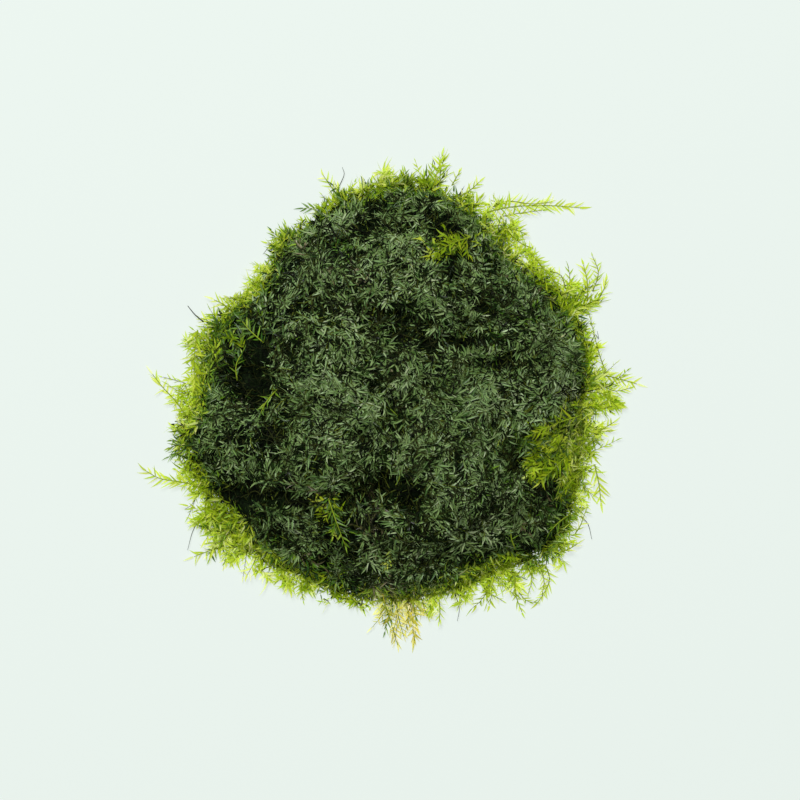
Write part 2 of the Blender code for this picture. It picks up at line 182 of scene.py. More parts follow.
# The shoots that are seen one by one: leaf length, then points from root to tip, measured from the
# clump's middle in the photograph
SINGLE_SHOOTS = {
    "shoot_upper_right_long": (3.5, (20.6, 41.2), (26.5, 42.4), (33.5, 42.7), (40.8, 42.2)),
    "shoot_upper_right_low": (2.8, (24.2, 37.8), (26.8, 37.4), (29.2, 36.3)),
    "shoot_top_tall": (3.2, (10.4, 47.0), (10.6, 50.4), (11.5, 53.4)),
    "shoot_top_slanting": (2.2, (13.0, 47.0), (14.0, 48.8), (14.8, 50.2)),
    "shoot_top_shoulder": (2.8, (14.8, 44.6), (17.0, 46.0), (19.0, 47.8)),
    "shoot_upper_left": (2.8, (-12.2, 45.4), (-13.8, 47.6), (-14.9, 49.2)),
    "shoot_left_high": (3.0, (-34.6, 19.6), (-36.6, 21.2), (-38.6, 22.2)),
    "shoot_left_comb": (3.8, (-42.2, 15.6), (-42.9, 9.0), (-42.4, 2.4)),
    "shoot_left_reaching": (3.2, (-44.6, -3.0), (-47.0, 0.2), (-49.8, 3.2), (-52.0, 6.0)),
    "shoot_left_long": (3.6, (-41.6, -18.4), (-45.6, -17.4), (-50.4, -16.6), (-53.4, -15.0)),
    "shoot_lower_left": (3.2, (-36.6, -31.2), (-39.4, -32.2), (-43.0, -33.6)),
    "shoot_lower_spike": (2.0, (-19.8, -39.2), (-19.6, -41.2), (-19.3, -43.2)),
    "shoot_bottom_yellow_left": (3.2, (-1.8, -43.4), (-0.4, -47.4), (1.2, -52.8)),
    "shoot_bottom_yellow_right": (3.2, (4.6, -43.4), (5.2, -47.8), (4.8, -52.0)),
    "shoot_bottom_right": (2.6, (10.2, -43.0), (10.4, -45.4), (10.2, -47.8)),
    "shoot_bottom_creeping": (2.0, (19.6, -40.8), (22.0, -42.0), (24.0, -43.2)),
    "shoot_hanging": (2.6, (26.6, -37.4), (26.8, -41.6), (28.2, -45.6)),
    "shoot_loop": (2.6, (33.4, -35.6), (34.2, -38.6), (33.0, -41.6), (31.6, -43.6)),
    "shoot_lower_right": (2.4, (36.4, -32.6), (38.6, -31.8), (40.6, -30.6)),
    "shoot_right_thin": (2.2, (39.8, -28.6), (41.0, -26.6), (41.8, -24.4)),
    "shoot_right_hanging": (3.4, (44.0, -13.6), (44.9, -17.8), (45.4, -21.8)),
    "shoot_right_small": (2.8, (44.4, -6.8), (46.2, -5.6), (48.2, -4.4)),
    "shoot_right_reaching": (3.2, (44.6, 6.0), (48.8, 5.2), (53.2, 3.9)),
    "shoot_right_under": (2.6, (45.4, 2.0), (47.6, 0.2), (49.2, -1.6)),
    "shoot_right_rim": (3.0, (42.4, 22.0), (42.4, 26.0), (41.6, 29.8)),
    "shoot_right_fork": (2.6, (44.2, 21.2), (46.0, 24.4), (46.6, 26.6)),
    "shoot_upper_right_rim": (2.8, (30.2, 32.2), (33.4, 28.4), (36.6, 24.6)),
    "shoot_yellow_tuft": (3.0, (17.0, 35.6), (13.0, 34.2), (9.2, 31.8)),
    "shoot_right_tuft_upper": (3.4, (41.2, -2.8), (35.6, -4.6), (30.2, -7.0)),
    "shoot_right_tuft_long": (3.8, (42.2, -8.4), (37.0, -12.4), (31.6, -17.6)),
    "shoot_right_tuft_lower": (3.0, (42.0, -14.2), (39.4, -16.4), (37.2, -19.4)),
    "shoot_left_curl": (3.2, (-27.2, 12.4), (-30.4, 15.2), (-33.0, 18.2)),
    "shoot_left_twig": (2.2, (-33.4, 4.6), (-33.6, 8.0), (-32.0, 11.2)),
    "shoot_left_small": (2.6, (-24.8, 2.6), (-27.0, 0.0), (-28.2, -2.4)),
    "shoot_lower_streak": (2.8, (-13.6, -20.8), (-12.0, -25.6), (-10.0, -31.0)),
    "shoot_lower_sprig": (2.2, (26.6, -31.6), (25.8, -29.6), (25.6, -27.6)),
    "shoot_lower_right_tuft": (2.8, (38.6, -24.4), (36.2, -26.0), (34.2, -28.0)),
    "stem_left_bare": (0.0, (-40.9, 17.4), (-42.8, 19.0), (-44.4, 20.9)),
    "stem_lower_bare": (0.0, (-8.6, -32.8), (-7.2, -36.4), (-5.7, -40.4)),
}

# Those of them that aren't fresh green
SINGLE_FAMILIES = {
    "shoot_bottom_yellow_left": YELLOW, "shoot_bottom_yellow_right": YELLOW,
    "shoot_left_curl": GREEN, "shoot_left_twig": GREEN, "shoot_left_small": GREEN,
    "shoot_lower_streak": GREEN, "shoot_lower_right_tuft": GREEN, "shoot_lower_sprig": GREEN,
}

# How far out the dark leaves reach, by angle: past it the leaves are young
DARK_EDGE = (
    (0, 42.0), (8, 43.4), (16, 43.6), (24, 42.9), (33, 42.2), (40, 41.6), (46, 40.6), (54, 41.0), (62, 43.4),
    (70, 45.8), (76, 47.0), (82, 47.8), (88, 47.8), (96, 45.4), (104, 46.8), (112, 44.9), (120, 42.4),
    (127, 41.8), (132, 38.8), (140, 37.6), (150, 39.2), (157, 42.0), (165, 41.6), (172, 41.0), (180, 41.4),
    (186, 43.0), (190, 46.6), (195, 45.6), (203, 43.8), (210, 43.8), (220, 42.0), (230, 42.8),
    (240, 41.4), (250, 41.6), (257, 42.8), (263, 42.0), (272, 41.8), (280, 41.6), (289, 41.0),
    (297, 40.6), (302, 40.8), (308, 41.6), (312, 46.4), (317, 46.8), (325, 46.4), (331, 43.8), (336, 40.0),
    (345, 40.4), (353, 41.4),
)

# How far the low fringe of young tips reaches past the dark leaves, by angle
FRINGE_REACH = (
    (0, 1.8), (15, 1.8), (30, 1.4), (38, 1.8), (46, 1.4), (54, 2.4), (66, 1.8), (78, 1.0), (90, 0.8),
    (106, 0.8), (115, 0.6), (125, 1.0), (133, 0.6), (142, 1.0), (150, 2.2), (160, 2.6), (172, 2.6),
    (181, 2.6), (188, 1.0), (198, 1.4), (208, 1.8), (222, 3.0), (234, 0.0), (245, 0.0), (256, -0.6),
    (264, 0.0), (272, 1.6), (284, 1.2), (294, 1.0), (304, 0.4), (312, 0.4), (322, 0.8), (332, 1.6),
    (345, 1.8),
)

# Tufts of the rim: angle of the middle, half width in degrees, reach of the tips, lean, shoots, tone
# and family
RIM_TUFTS = {
    "right": (3.2, 2.0, 55.0, 3, 12, 0.42, FRESH),
    "right_low": (7.5, 2.4, 48.0, 0, 7, 0.4, FRESH),
    "right_arch_foot": (15.0, 5.0, 45.8, 0, 20, 0.25, FRESH),
    "right_upper": (27.8, 2.2, 53.0, -2, 26, 0.3, FRESH),
    "right_upper_fork": (34.0, 1.6, 51.4, -10, 5, 0.4, FRESH),
    "upper_right_bend": (37.0, 2.8, 45.0, 10, 6, 0.35, FRESH),
    "upper_right_inner": (53.4, 2.6, 47.4, 14, 10, 0.4, FRESH),
    "upper_right": (60.0, 2.4, 47.6, 22, 8, 0.38, FRESH),
    "top_right": (67.2, 2.0, 49.0, 0, 8, 0.3, FRESH),
    "top_tall": (79.4, 1.8, 55.4, -4, 12, 0.35, FRESH),
    "top": (86.6, 4.4, 51.4, -4, 12, 0.3, FRESH),
    "top_green": (87.0, 3.6, 49.8, 0, 12, 0.75, GREEN),
    "top_middle": (94.6, 4.4, 50.2, 0, 10, 0.3, FRESH),
    "top_middle_green": (97.0, 4.0, 47.6, 0, 8, 0.8, GREEN),
    "top_fork": (104.8, 1.8, 51.2, -6, 8, 0.35, FRESH),
    "top_left_green": (108.0, 5.0, 46.6, 0, 14, 0.1, FRESH),
    "upper_left": (122.6, 4.0, 46.2, 4, 13, 0.3, FRESH),
    "upper_left_green": (125.0, 4.0, 44.6, 0, 8, 0.9, GREEN),
    "left_notch_high": (139.0, 4.6, 41.2, 10, 8, 0.3, FRESH),
    "left_notch": (147.5, 3.0, 44.2, 14, 9, 0.35, FRESH),
    "left_high": (157.0, 2.2, 47.4, 4, 10, 0.25, FRESH),
    "left_comb": (163.0, 3.4, 47.4, -6, 12, 0.35, FRESH),
    "left_comb_low": (171.0, 3.4, 46.2, 8, 11, 0.35, FRESH),
    "left_reaching": (177.4, 2.0, 51.2, 6, 11, 0.3, FRESH),
    "left_low_fringe": (184.4, 2.6, 46.6, 6, 6, 0.45, FRESH),
    "left_low": (190.6, 3.2, 50.2, 2, 15, 0.85, GREEN),
    "left_long": (200.0, 2.6, 51.0, 6, 12, 0.4, FRESH),
    "lower_left_high": (211.8, 2.4, 51.6, 10, 13, 0.35, FRESH),
    "lower_left": (219.4, 3.4, 54.8, 2, 26, 0.5, FRESH),
    "lower_left_low": (225.6, 3.0, 51.4, -6, 17, 0.5, FRESH),
    "lower_left_end": (232.4, 2.4, 46.4, -4, 6, 0.35, FRESH),
    "lower_spikes": (245.0, 3.2, 47.0, -10, 9, 0.25, FRESH),
    "lower_end": (252.0, 1.6, 44.4, 0, 3, 0.3, FRESH),
    "bottom_yellow": (272.4, 2.4, 54.0, 0, 21, 0.7, YELLOW),
    "bottom_foot": (268.4, 1.4, 47.6, -4, 8, 0.4, YELLOW),
    "bottom_tip": (280.0, 1.6, 47.0, 0, 5, 0.4, FRESH),
    "bottom_right": (292.6, 2.6, 48.6, 4, 10, 0.3, FRESH),
    "hanging": (301.4, 1.6, 53.4, 3, 13, 0.35, FRESH),
    "loop_foot": (311.6, 1.8, 49.4, -8, 7, 0.85, GREEN),
    "lower_right": (318.6, 4.0, 50.0, -4, 20, 0.85, GREEN),
    "lower_right_tips": (321.0, 4.0, 51.4, 0, 9, 0.25, FRESH),
    "lower_right_end": (328.0, 2.8, 48.6, 4, 10, 0.9, GREEN),
    "right_hanging": (338.6, 3.6, 50.8, 10, 14, 0.5, FRESH),
    "right_under": (349.0, 3.6, 46.4, 2, 9, 0.5, FRESH),
    "right_end": (357.0, 1.6, 46.8, 6, 2, 0.5, FRESH),
    "bottom_low": (288.0, 2.4, 46.4, 0, 7, 0.25, FRESH),
}

# Loose strands that arch along the rim or stand out of it: leaf length, then points from the clump's middle
LOOSE_STRANDS = {
    "right_arch": (1.6, (46.4, 6.6), (45.0, 10.4), (43.6, 15.9), (42.9, 19.1)),
    "upper_right_arch": (1.8, (37.7, 24.5), (36.6, 27.6), (33.1, 28.7), (31.6, 30.5), (28.6, 32.9)),
    "upper_right_bow": (2.0, (30.6, 33.4), (27.8, 34.6), (24.4, 38.0), (21.8, 41.4)),
    "long_shoots_fellow": (2.4, (21.6, 42.2), (25.0, 43.6), (30.4, 43.0), (34.2, 43.4)),
    "long_shoots_under": (2.4, (23.4, 40.2), (27.8, 41.0), (32.6, 41.6)),
    "loop_strand": (2.0, (29.2, -35.4), (30.4, -38.4), (29.6, -41.6)),
    "loop_rise": (2.2, (25.4, -36.2), (26.8, -40.0), (29.0, -43.0), (31.4, -43.6)),
    "loop_fall": (2.2, (31.8, -34.8), (33.0, -38.6), (32.6, -42.0)),
    "lower_left_arch": (2.2, (-40.0, -20.0), (-40.6, -24.0), (-39.4, -28.4), (-37.6, -32.4)),
    "yellow_between": (2.6, (1.0, -43.6), (1.6, -47.4), (2.6, -51.0)),
    "yellow_outer": (2.0, (6.4, -42.6), (7.0, -44.8), (7.8, -46.6)),
    "yellow_across": (2.4, (2.8, -43.0), (3.6, -46.2), (3.0, -49.4)),
    "right_fork_low": (2.2, (43.6, 24.0), (44.8, 28.0), (43.6, 31.6)),
    "right_reaching_low": (2.6, (44.8, 4.0), (48.4, 2.4), (51.6, 3.0)),
}

# Bare threads, most of them single dead stems
LOOSE_THREADS = {
    "upper_left_tip": ((-25.6, 34.6), (-26.8, 33.6), (-28.0, 32.1)),
    "left_lower_thread": ((-40.5, -19.6), (-42.4, -20.6), (-43.6, -22.4), (-45.0, -23.3)),
    "lower_left_thread": ((-42.2, -26.0), (-43.4, -28.4), (-44.4, -32.2)),
    "lower_right_thread": ((41.0, -24.8), (42.6, -26.6), (43.4, -29.8)),
    "right_thread": ((43.2, 13.0), (44.2, 14.6), (44.9, 13.6), (44.6, 15.4)),
    "top_left_thread": ((-11.4, 47.0), (-10.4, 49.4), (-10.8, 51.0)),
    "bottom_thread": ((13.4, -41.0), (14.6, -44.6), (14.2, -47.6)),
}

# Tufts that lie on top of the mat: middle, half sizes, turn, heading, shoots, tone, share that is fresh
TOP_TUFTS = {
    "yellow_tuft": (13.4, 33.6, 3.8, 1.4, 8, 190, 18, 0.2, 0.7),
    "right_tuft_rim": (40.0, -9.6, 3.2, 7.2, 0, 215, 68, 0.68, 0.7),
    "right_tuft_middle": (35.0, -10.8, 4.4, 5.2, 0, 212, 50, 0.3, 0.7),
    "right_tuft_low": (31.2, -14.0, 2.0, 2.4, 30, 220, 12, 0.3, 0.7),
    "right_tuft_foot": (38.6, -18.6, 2.2, 2.4, 0, 230, 16, 0.5, 0.7),
    "lower_left_light": (-37.0, -28.6, 2.2, 4.4, 38, 235, 40, 0.7, 0.7),
    "left_sprays": (-36.0, 16.4, 4.4, 3.2, 20, 140, 22, 0.2, 0.1),
    "left_sprays_low": (-38.2, 9.2, 2.4, 4.6, 0, 100, 12, 0.15, 0.1),
    "streak_sprays": (-12.6, -24.4, 1.4, 4.6, 15, 285, 10, 0.1, 0.3),
}

# Hollows and lumps of the top that are finer than the solid: middle, half sizes, turn, rise. The rise lifts
# or sinks the shoots, and also paints their leaves darker in the hollows as shade and lighter on the lumps as
# light
HOLLOWS_AND_LUMPS = {
    "groove_under_the_fold": (-5.4, 37.2, 4.6, 2.2, 20, -1.1),
    "groove_right_end": (11.7, 36.4, 3.5, 2.4, -18, -1.4),
    "fold_left_dip": (-16.5, 34.8, 2.0, 1.5, 0, -0.8),
    "left_shoulder_dip": (-20.6, 29.4, 2.6, 2.2, 0, -0.8),
    "olive_dip": (-12.0, 32.6, 3.2, 3.0, 0, -0.9),
    "yellow_tuft_shade": (14.4, 30.8, 4.3, 1.9, 20, -1.1),
    "ring_top": (-1.0, 19.8, 5.4, 1.8, 12, -1.2),
    "ring_right": (3.9, 18.4, 2.2, 1.7, 0, -0.8),
    "ring_bottom": (2.0, 14.6, 5.2, 2.0, 0, -1.1),
    "ring_outer": (8.2, 12.4, 2.8, 3.6, 0, -1.0),
    "right_of_ring": (15.2, 12.8, 3.0, 1.8, 0, -1.2),
    "right_hollow_top": (20.7, 19.6, 3.5, 2.0, -30, -0.8),
    "right_hollow_side": (25.2, 22.6, 2.6, 3.0, 0, -0.5),
    "right_hollow": (24.5, 8.0, 5.5, 2.2, 5, -1.1),
    "left_slit": (-19.4, 8.4, 1.8, 2.2, 0, -0.8),
    "left_bank": (-29.6, 12.0, 4.0, 6.0, 0, -1.0),
    "left_pit_top": (-32.4, 6.4, 4.0, 3.4, 0, -1.4),
    "left_pit": (-32.4, 2.0, 3.0, 2.2, 0, -1.2),
    "left_edge_shade": (-38.4, 15.2, 3.2, 3.4, 0, -1.5),
    "left_low_pit": (-25.4, -7.4, 2.8, 3.5, 10, -1.2),
    "left_low_slit": (-21.5, -1.7, 2.0, 2.0, 0, -0.7),
    "left_shade": (-32.0, -7.6, 2.6, 4.4, 10, -0.7),
    "left_middle_shade": (-27.4, 0.0, 3.5, 3.5, 0, -0.9),
    "lower_left_pit": (-34.4, -20.2, 3.8, 2.8, 30, -1.4),
    "lower_left_gap": (-36.5, -22.2, 2.6, 1.7, -20, -1.0),
    "lower_left_slit": (-23.3, -17.0, 1.5, 3.5, 10, -1.0),
    "lower_left_band": (-26.0, -20.6, 6.6, 1.8, -10, -1.2),
    "lower_left_band_end": (-19.1, -22.6, 4.3, 1.6, -15, -0.8),
    "middle_left_dip": (-18.5, -13.3, 2.2, 1.7, 0, -0.5),
    "big_hollow": (0.0, -17.8, 4.8, 2.8, -15, -1.3),
    "big_hollow_low": (4.6, -22.0, 2.6, 2.2, 0, -0.8),
    "big_hollow_left": (-8.7, -20.0, 3.0, 2.2, 0, -0.9),
    "big_hollow_foot": (-5.2, -26.2, 3.5, 2.6, 0, -1.2),
    "big_hollow_corner": (-12.4, -26.8, 3.6, 3.4, -20, -1.1),
    "streak_left_side": (-1.3, -27.8, 1.7, 2.0, 0, -0.9),
    "streak_right_side": (3.5, -27.4, 2.0, 2.0, 0, -0.8),
    "streak_far_side": (8.0, -28.0, 2.2, 2.0, 0, -0.9),
    "lower_slit": (-24.8, -29.3, 3.0, 1.7, -20, -0.9),
    "lower_slit_end": (-16.0, -33.0, 3.5, 1.8, -25, -0.7),
    "lower_middle_slit": (-16.1, -27.2, 1.7, 2.2, 0, -0.3),
    "lower_middle_pit": (-15.0, -36.7, 1.7, 1.5, 0, -0.7),
    "bottom_pit": (-8.7, -41.2, 2.4, 2.4, 0, -1.4),
    "bottom_right_pit": (20.6, -33.6, 6.4, 1.6, 0, -0.7),
    "lower_right_pit": (28.5, -31.7, 3.0, 2.0, -20, -0.9),
    "lower_right_end": (32.8, -33.3, 2.0, 1.7, -40, -1.0),
    "tuft_left_shade": (26.7, -13.0, 2.0, 3.0, 0, -1.1),
    "tuft_foot_shade": (33.3, -18.3, 3.5, 2.2, 30, -1.0),
    "middle_right_dip": (11.7, 4.1, 2.6, 1.5, 0, -0.4),
    "low_right_dip": (14.6, -11.0, 2.4, 2.8, 0, -0.9),
    "middle_seam": (8.7, -3.9, 0.9, 3.9, 0, -0.3),
    "right_edge_dip": (38.7, 7.6, 2.6, 2.2, 0, -0.5),
    "upper_right_slit": (33.4, 23.4, 4.6, 1.7, -40, -1.0),
    "upper_right_dip": (26.5, 34.2, 3.0, 1.7, 0, -0.9),
    "fold_top": (-2.6, 47.6, 4.3, 2.6, 10, 0.7),
    "fold_top_left": (-10.4, 43.6, 4.0, 2.4, 35, 0.1),
    "fold_right": (5.0, 43.3, 4.3, 1.7, -10, 0.6),
    "fold_left": (-9.1, 42.4, 3.0, 1.5, 25, 0.4),
    "under_groove": (0.2, 35.2, 2.6, 2.6, 0, 0.3),
    "upper_middle": (3.4, 26.4, 4.6, 5.4, 0, 0.9),
    "upper_left": (-15.0, 26.8, 5.2, 2.2, 5, 0.75),
    "left_shoulder": (-26.5, 25.7, 3.5, 2.2, 20, 0.5),
    "ring_left_bank": (-9.0, 16.8, 2.4, 3.4, 0, 0.5),
    "ring_lip": (-3.0, 24.3, 3.5, 1.5, 0, 0.4),
    "middle_left": (-9.4, 7.0, 7.0, 3.0, 0, 0.7),
    "middle": (-3.4, 5.2, 3.0, 2.2, 0, 0.6),
    "left_of_middle": (-17.4, 7.0, 2.2, 3.0, 0, 0.5),
    "middle_low": (-3.7, -5.0, 2.6, 3.0, 0, 0.1),
    "low_left": (-14.6, -8.4, 3.6, 2.2, -20, 0.5),
    "low_left_foot": (-7.6, -14.0, 3.6, 1.6, -10, 0.5),
    "low_middle": (6.1, -11.0, 3.0, 3.0, 40, 0.5),
    "seam_bank": (12.6, -7.6, 2.8, 2.0, 0, 0.3),
    "right_middle": (23.6, 0.6, 4.6, 3.6, 0, 1.2),
    "right_low": (25.2, -6.4, 3.0, 2.8, 10, 1.2),
    "right_low_foot": (19.0, -10.6, 3.4, 2.8, 0, 0.8),
    "right_bank": (18.0, 16.4, 4.0, 1.8, 0, 0.8),
    "bottom_middle": (19.4, -25.6, 4.6, 4.0, 20, 1.2),
    "bottom_right": (21.0, -28.6, 2.6, 2.4, 0, 0.2),
    "bottom": (13.0, -27.8, 3.4, 2.8, 0, 0.8),
    "bottom_edge": (9.8, -39.4, 3.4, 2.4, 0, 1.0),
    "lower_right_bank": (30.0, -27.4, 2.2, 2.6, 0, 0.5),
    "small_glint": (-18.6, -17.6, 1.8, 1.5, 0, 0.7),
    "upper_right_bank": (17.6, 29.4, 2.6, 1.8, 0, 0.8),
    "far_right_bank": (33.3, 15.6, 3.0, 2.6, 40, 0.2),
    "right_bank_low": (36.0, 1.6, 5.0, 4.0, 0, 0.9),
    "right_bank_upper": (31.3, 5.7, 2.6, 1.7, 0, 0.4),
    "left_rim_light": (-40.0, -5.0, 2.2, 5.5, 5, 0.3),
    "left_rim_low": (-38.6, -13.2, 2.6, 2.6, 0, -0.3),
    "lower_left_light": (-20.6, -32.6, 4.0, 1.5, -25, 0.9),
    "streak": (-3.6, -35.4, 6.4, 1.9, -78, 1.9),
    "streak_end": (-1.4, -40.2, 3.0, 2.2, 0, 1.3),
    "streak_right": (5.6, -33.4, 2.0, 2.6, 0, 0.5),
    "upper_left_dip": (-20.2, 20.4, 4.0, 2.6, 20, -0.9),
    "ring_left_dip": (-11.0, 23.8, 3.0, 1.6, 20, -0.7),
    "left_bank_low": (-26.4, 10.8, 1.8, 3.6, 0, -0.4),
    "left_inner_dip": (-22.6, 3.0, 2.6, 2.0, 0, -0.8),
    "left_low_dip": (-21.0, -5.0, 1.8, 2.2, 0, -0.3),
    "lower_left_edge_gap": (-33.4, -23.8, 4.2, 2.4, -40, -0.9),
    "fold_right_dip": (7.4, 40.6, 2.2, 2.4, 0, -0.7),
    "right_of_middle": (12.4, 5.4, 1.8, 3.0, 0, -0.3),
    "upper_right_inner_dip": (14.6, 25.0, 3.0, 1.6, 0, -0.4),
    "right_seam_dip": (19.2, -3.6, 2.4, 1.8, 0, -0.7),
    "big_hollow_right": (5.8, -18.2, 2.0, 2.0, 0, -0.8),
    "groove_bridge": (0.0, 39.4, 2.6, 2.0, 0, 0.5),
    "fold_left_foot": (-11.2, 38.2, 3.6, 1.6, 20, 0.6),
    "upper_left_inner": (-8.0, 29.6, 3.0, 2.6, 0, 0.4),
    "left_top_bank": (-24.4, 22.0, 3.6, 2.4, -20, 0.5),
    "left_slit_bank": (-20.6, 12.6, 2.4, 2.6, 0, 0.5),
    "middle_right": (3.0, 4.0, 3.0, 2.6, 0, 0.8),
    "left_of_middle_low": (-16.8, 3.6, 1.8, 1.8, 0, 0.1),
    "middle_below": (-3.4, -1.4, 6.0, 2.6, 0, 0.3),
    "right_rim_bank": (39.4, 3.4, 2.4, 4.0, 0, 0.8),
    "upper_right_outer_bank": (27.6, 26.0, 2.2, 1.8, 0, 0.5),
    "hollow_upper_bank": (0.6, -13.2, 3.4, 2.0, 0, 0.9),
    "hollow_right_bank": (9.0, -14.6, 2.0, 2.6, 0, 0.6),
    "low_right_bank": (14.4, -18.6, 2.6, 2.6, 0, -0.4),
    "tuft_foot_bank": (23.2, -18.4, 2.6, 2.6, 0, 0.5),
    "tuft_low_bank": (28.8, -17.4, 2.4, 1.4, 0, 0.8),
    "bottom_left_bank": (-11.4, -36.2, 2.2, 2.0, 0, 0.7),
    "hollow_left_bank": (-11.6, -17.6, 3.2, 2.0, 0, 0.5),
    "left_middle_bank": (-31.6, -3.0, 2.0, 2.6, 0, 0.4),
    "left_twig_bank": (-25.2, -2.2, 1.6, 1.8, 0, 0.6),
    "fold_upper_edge": (-3.0, 48.0, 5.0, 1.8, 5, 0.9),
    "upper_left_edge_bank": (-17.4, 36.6, 6.0, 2.4, 40, 0.6),
    "left_upper_edge_bank": (-26.4, 31.2, 3.4, 4.6, 0, 1.2),
    "left_shoulder_edge": (-33.6, 23.0, 5.0, 2.2, 40, 1.0),
    "upper_right_edge_bank": (27.6, 29.6, 3.0, 4.0, 0, 0.6),
    "middle_groove": (-3.6, 9.0, 3.4, 1.8, -20, -0.6),
    "middle_low_groove": (-0.4, -5.2, 2.4, 1.6, 0, -0.8),
    "left_hollow_bank": (-15.8, -14.4, 2.4, 2.2, 0, -0.9),
    "right_groove": (9.4, 24.6, 2.4, 2.8, -30, -0.4),
    "ring_right_bank": (9.6, 20.8, 3.0, 1.6, 0, 0.1),
    "middle_low_dip": (4.2, -3.0, 2.6, 3.0, 0, -0.2),
    "left_rim_shade": (-43.0, -8.6, 1.8, 4.4, 0, -0.4),
    "right_hollow_upper": (18.2, 13.4, 4.0, 1.6, 0, -1.0),
    "bottom_left_dip": (-15.0, -37.2, 2.4, 1.6, -20, -0.8),
    "fold_dip": (-4.0, 41.4, 4.4, 1.8, 10, -0.7),
    "fold_middle_bank": (4.0, 38.8, 2.2, 2.2, 0, 0.6),
    "right_of_yellow_tuft": (20.0, 33.4, 3.0, 2.2, 0, 0.7),
    "right_bank_outer_dip": (24.4, 24.6, 4.6, 1.6, -10, -0.4),
    "middle_top_groove": (0.4, 7.2, 3.0, 1.4, 0, -0.6),
    "streak_left_gap": (-8.4, -32.4, 1.8, 3.0, 0, -1.0),
    "lower_left_bank": (-21.0, -26.8, 2.4, 2.0, 0, 0.6),
    "left_rim_dip": (-41.6, -13.6, 2.0, 3.4, 20, -0.9),
    "low_seam_groove": (15.6, -4.4, 2.6, 2.4, 0, -0.6),
    "right_tuft_upper_bank": (37.4, -4.6, 3.0, 2.4, 0, 1.0),
    "low_middle_bank": (4.4, -5.6, 2.6, 2.0, 0, 0.4),
    "bottom_dip": (10.4, -35.6, 2.6, 2.0, 0, -0.6),
    "middle_left_low": (-13.5, -2.8, 2.6, 2.6, 0, 0.5),
}

# Patches of the top where the shoots are greener, fresher or older: middle, half sizes, turn, share, family
PATCHES = {
    "yellow_tuft_left": (10.0, 33.0, 2.2, 2.0, 0, 0.6, FRESH),
    "yellow_tuft_right": (14.8, 34.3, 2.2, 1.3, 10, 0.7, FRESH),
    "right_tuft": (38.4, -9.0, 5.4, 8.0, 0, 0.85, FRESH),
    "right_tuft_foot": (30.7, -13.9, 2.6, 3.0, 0, 0.5, FRESH),
    "right_tuft_green": (33.9, -11.5, 9.6, 9.6, 0, 0.45, GREEN),
    "left_fan": (-30.4, 16.3, 3.0, 1.7, -10, 0.5, GREEN),
    "left_green": (-33.9, 11.3, 7.4, 12.2, 0, 0.7, GREEN),
    "olive_dip": (-11.3, 33.7, 3.0, 3.5, 0, 0.5, GREEN),
    "left_shoulder": (-21.1, 29.6, 2.2, 2.6, 0, 0.4, GREEN),
    "upper_left_edge": (-13.5, 40.9, 6.5, 2.0, 35, 0.3, GREEN),
    "left_edge": (-28.3, 24.3, 6.5, 2.0, 40, 0.2, GREEN),
    "hollow_edge": (-13.5, -22.4, 1.7, 3.0, 20, 0.4, FRESH),
    "streak_side": (-8.7, -30.0, 1.5, 3.5, 0, 0.35, FRESH),
    "streak_green": (-9.1, -28.9, 3.9, 7.4, 0, 0.5, GREEN),
    "streak_foot": (0.0, -32.6, 1.7, 2.2, 0, 0.3, FRESH),
    "bottom_green": (15.4, -39.3, 3.9, 1.7, 0, 0.6, GREEN),
    "lower_left_green": (-13.5, -37.6, 8.7, 1.7, -25, 0.4, GREEN),
    "right_rim_green": (35.0, -26.3, 3.0, 5.4, 0, 0.6, GREEN),
    "lower_right_green": (24.6, -32.2, 2.6, 3.5, 0, 0.4, GREEN),
    "right_fern": (22.8, 15.0, 5.7, 1.7, 30, 0.5, GREEN),
    "right_fern_end": (28.9, 19.6, 4.3, 2.6, 30, 0.3, GREEN),
    "fold_edge": (3.9, 46.5, 7.4, 2.0, 0, 0.5, GREEN),
    "top_green": (2.0, 46.5, 7.0, 3.0, 0, 0.5, GREEN),
    "right_glint": (25.0, -5.9, 1.7, 1.3, 0, 0.4, FRESH),
    "seam_green": (19.1, -13.0, 4.3, 4.8, 0, 0.2, GREEN),
    "hollow_brown": (-3.5, -27.2, 3.5, 3.5, 0, 0.5, OLD),
    "streak_end": (-0.9, -40.0, 2.6, 1.7, 0, 0.7, OLD),
    "lower_left_brown": (-22.6, -18.5, 2.0, 4.3, 0, 0.45, OLD),
    "tuft_foot_brown": (31.7, -19.6, 3.0, 1.7, 30, 0.35, OLD),
}


# Small helpers


def linear(colour):
    """The linear light of an sRGB hex colour."""
    parts = [int(colour[i : i + 2], 16) / 255 for i in (1, 3, 5)]
    return [p / 12.92 if p <= 0.04045 else ((p + 0.055) / 1.055) ** 2.4 for p in parts] + [1.0]


def add_node(tree, kind, settings=(), inputs=()):
    """A shader node with its settings, its inputs set or linked."""
    made = tree.nodes.new("ShaderNode" + kind)
    for name, value in dict(settings).items():
        setattr(made, name, value)
    for name, value in dict(inputs).items():
        if isinstance(value, bpy.types.NodeSocket):
            tree.links.new(value, made.inputs[name])
        else:
            made.inputs[name].default_value = value
    return made


def set_ramp(ramp, stops):
    """Puts these places and hex colours on a colour ramp."""
    while len(ramp.elements) < len(stops):
        ramp.elements.new(0.5)
    for element, (place, colour) in zip(ramp.elements, stops):
        element.position = place
        element.color = linear(colour)


def unit(vectors):
    """Each vector made one long."""
    return vectors / np.maximum(np.linalg.norm(vectors, axis=-1, keepdims=True), 1e-9)


def around(edge, angle):
    """The value of an edge at this angle, or at each of them, between its (degrees, value) pairs."""
    degrees, values = zip(*edge)
    return np.interp(np.degrees(angle), degrees, values, period=360)


def towards(angle):
    """The level direction at this angle from +X."""
    return Vector((math.cos(angle), math.sin(angle)))


def turned(way, angle):
    """A level direction turned by this angle."""
    c, s = math.cos(angle), math.sin(angle)
    return Vector((way.x * c - way.y * s, way.x * s + way.y * c, 0.0))


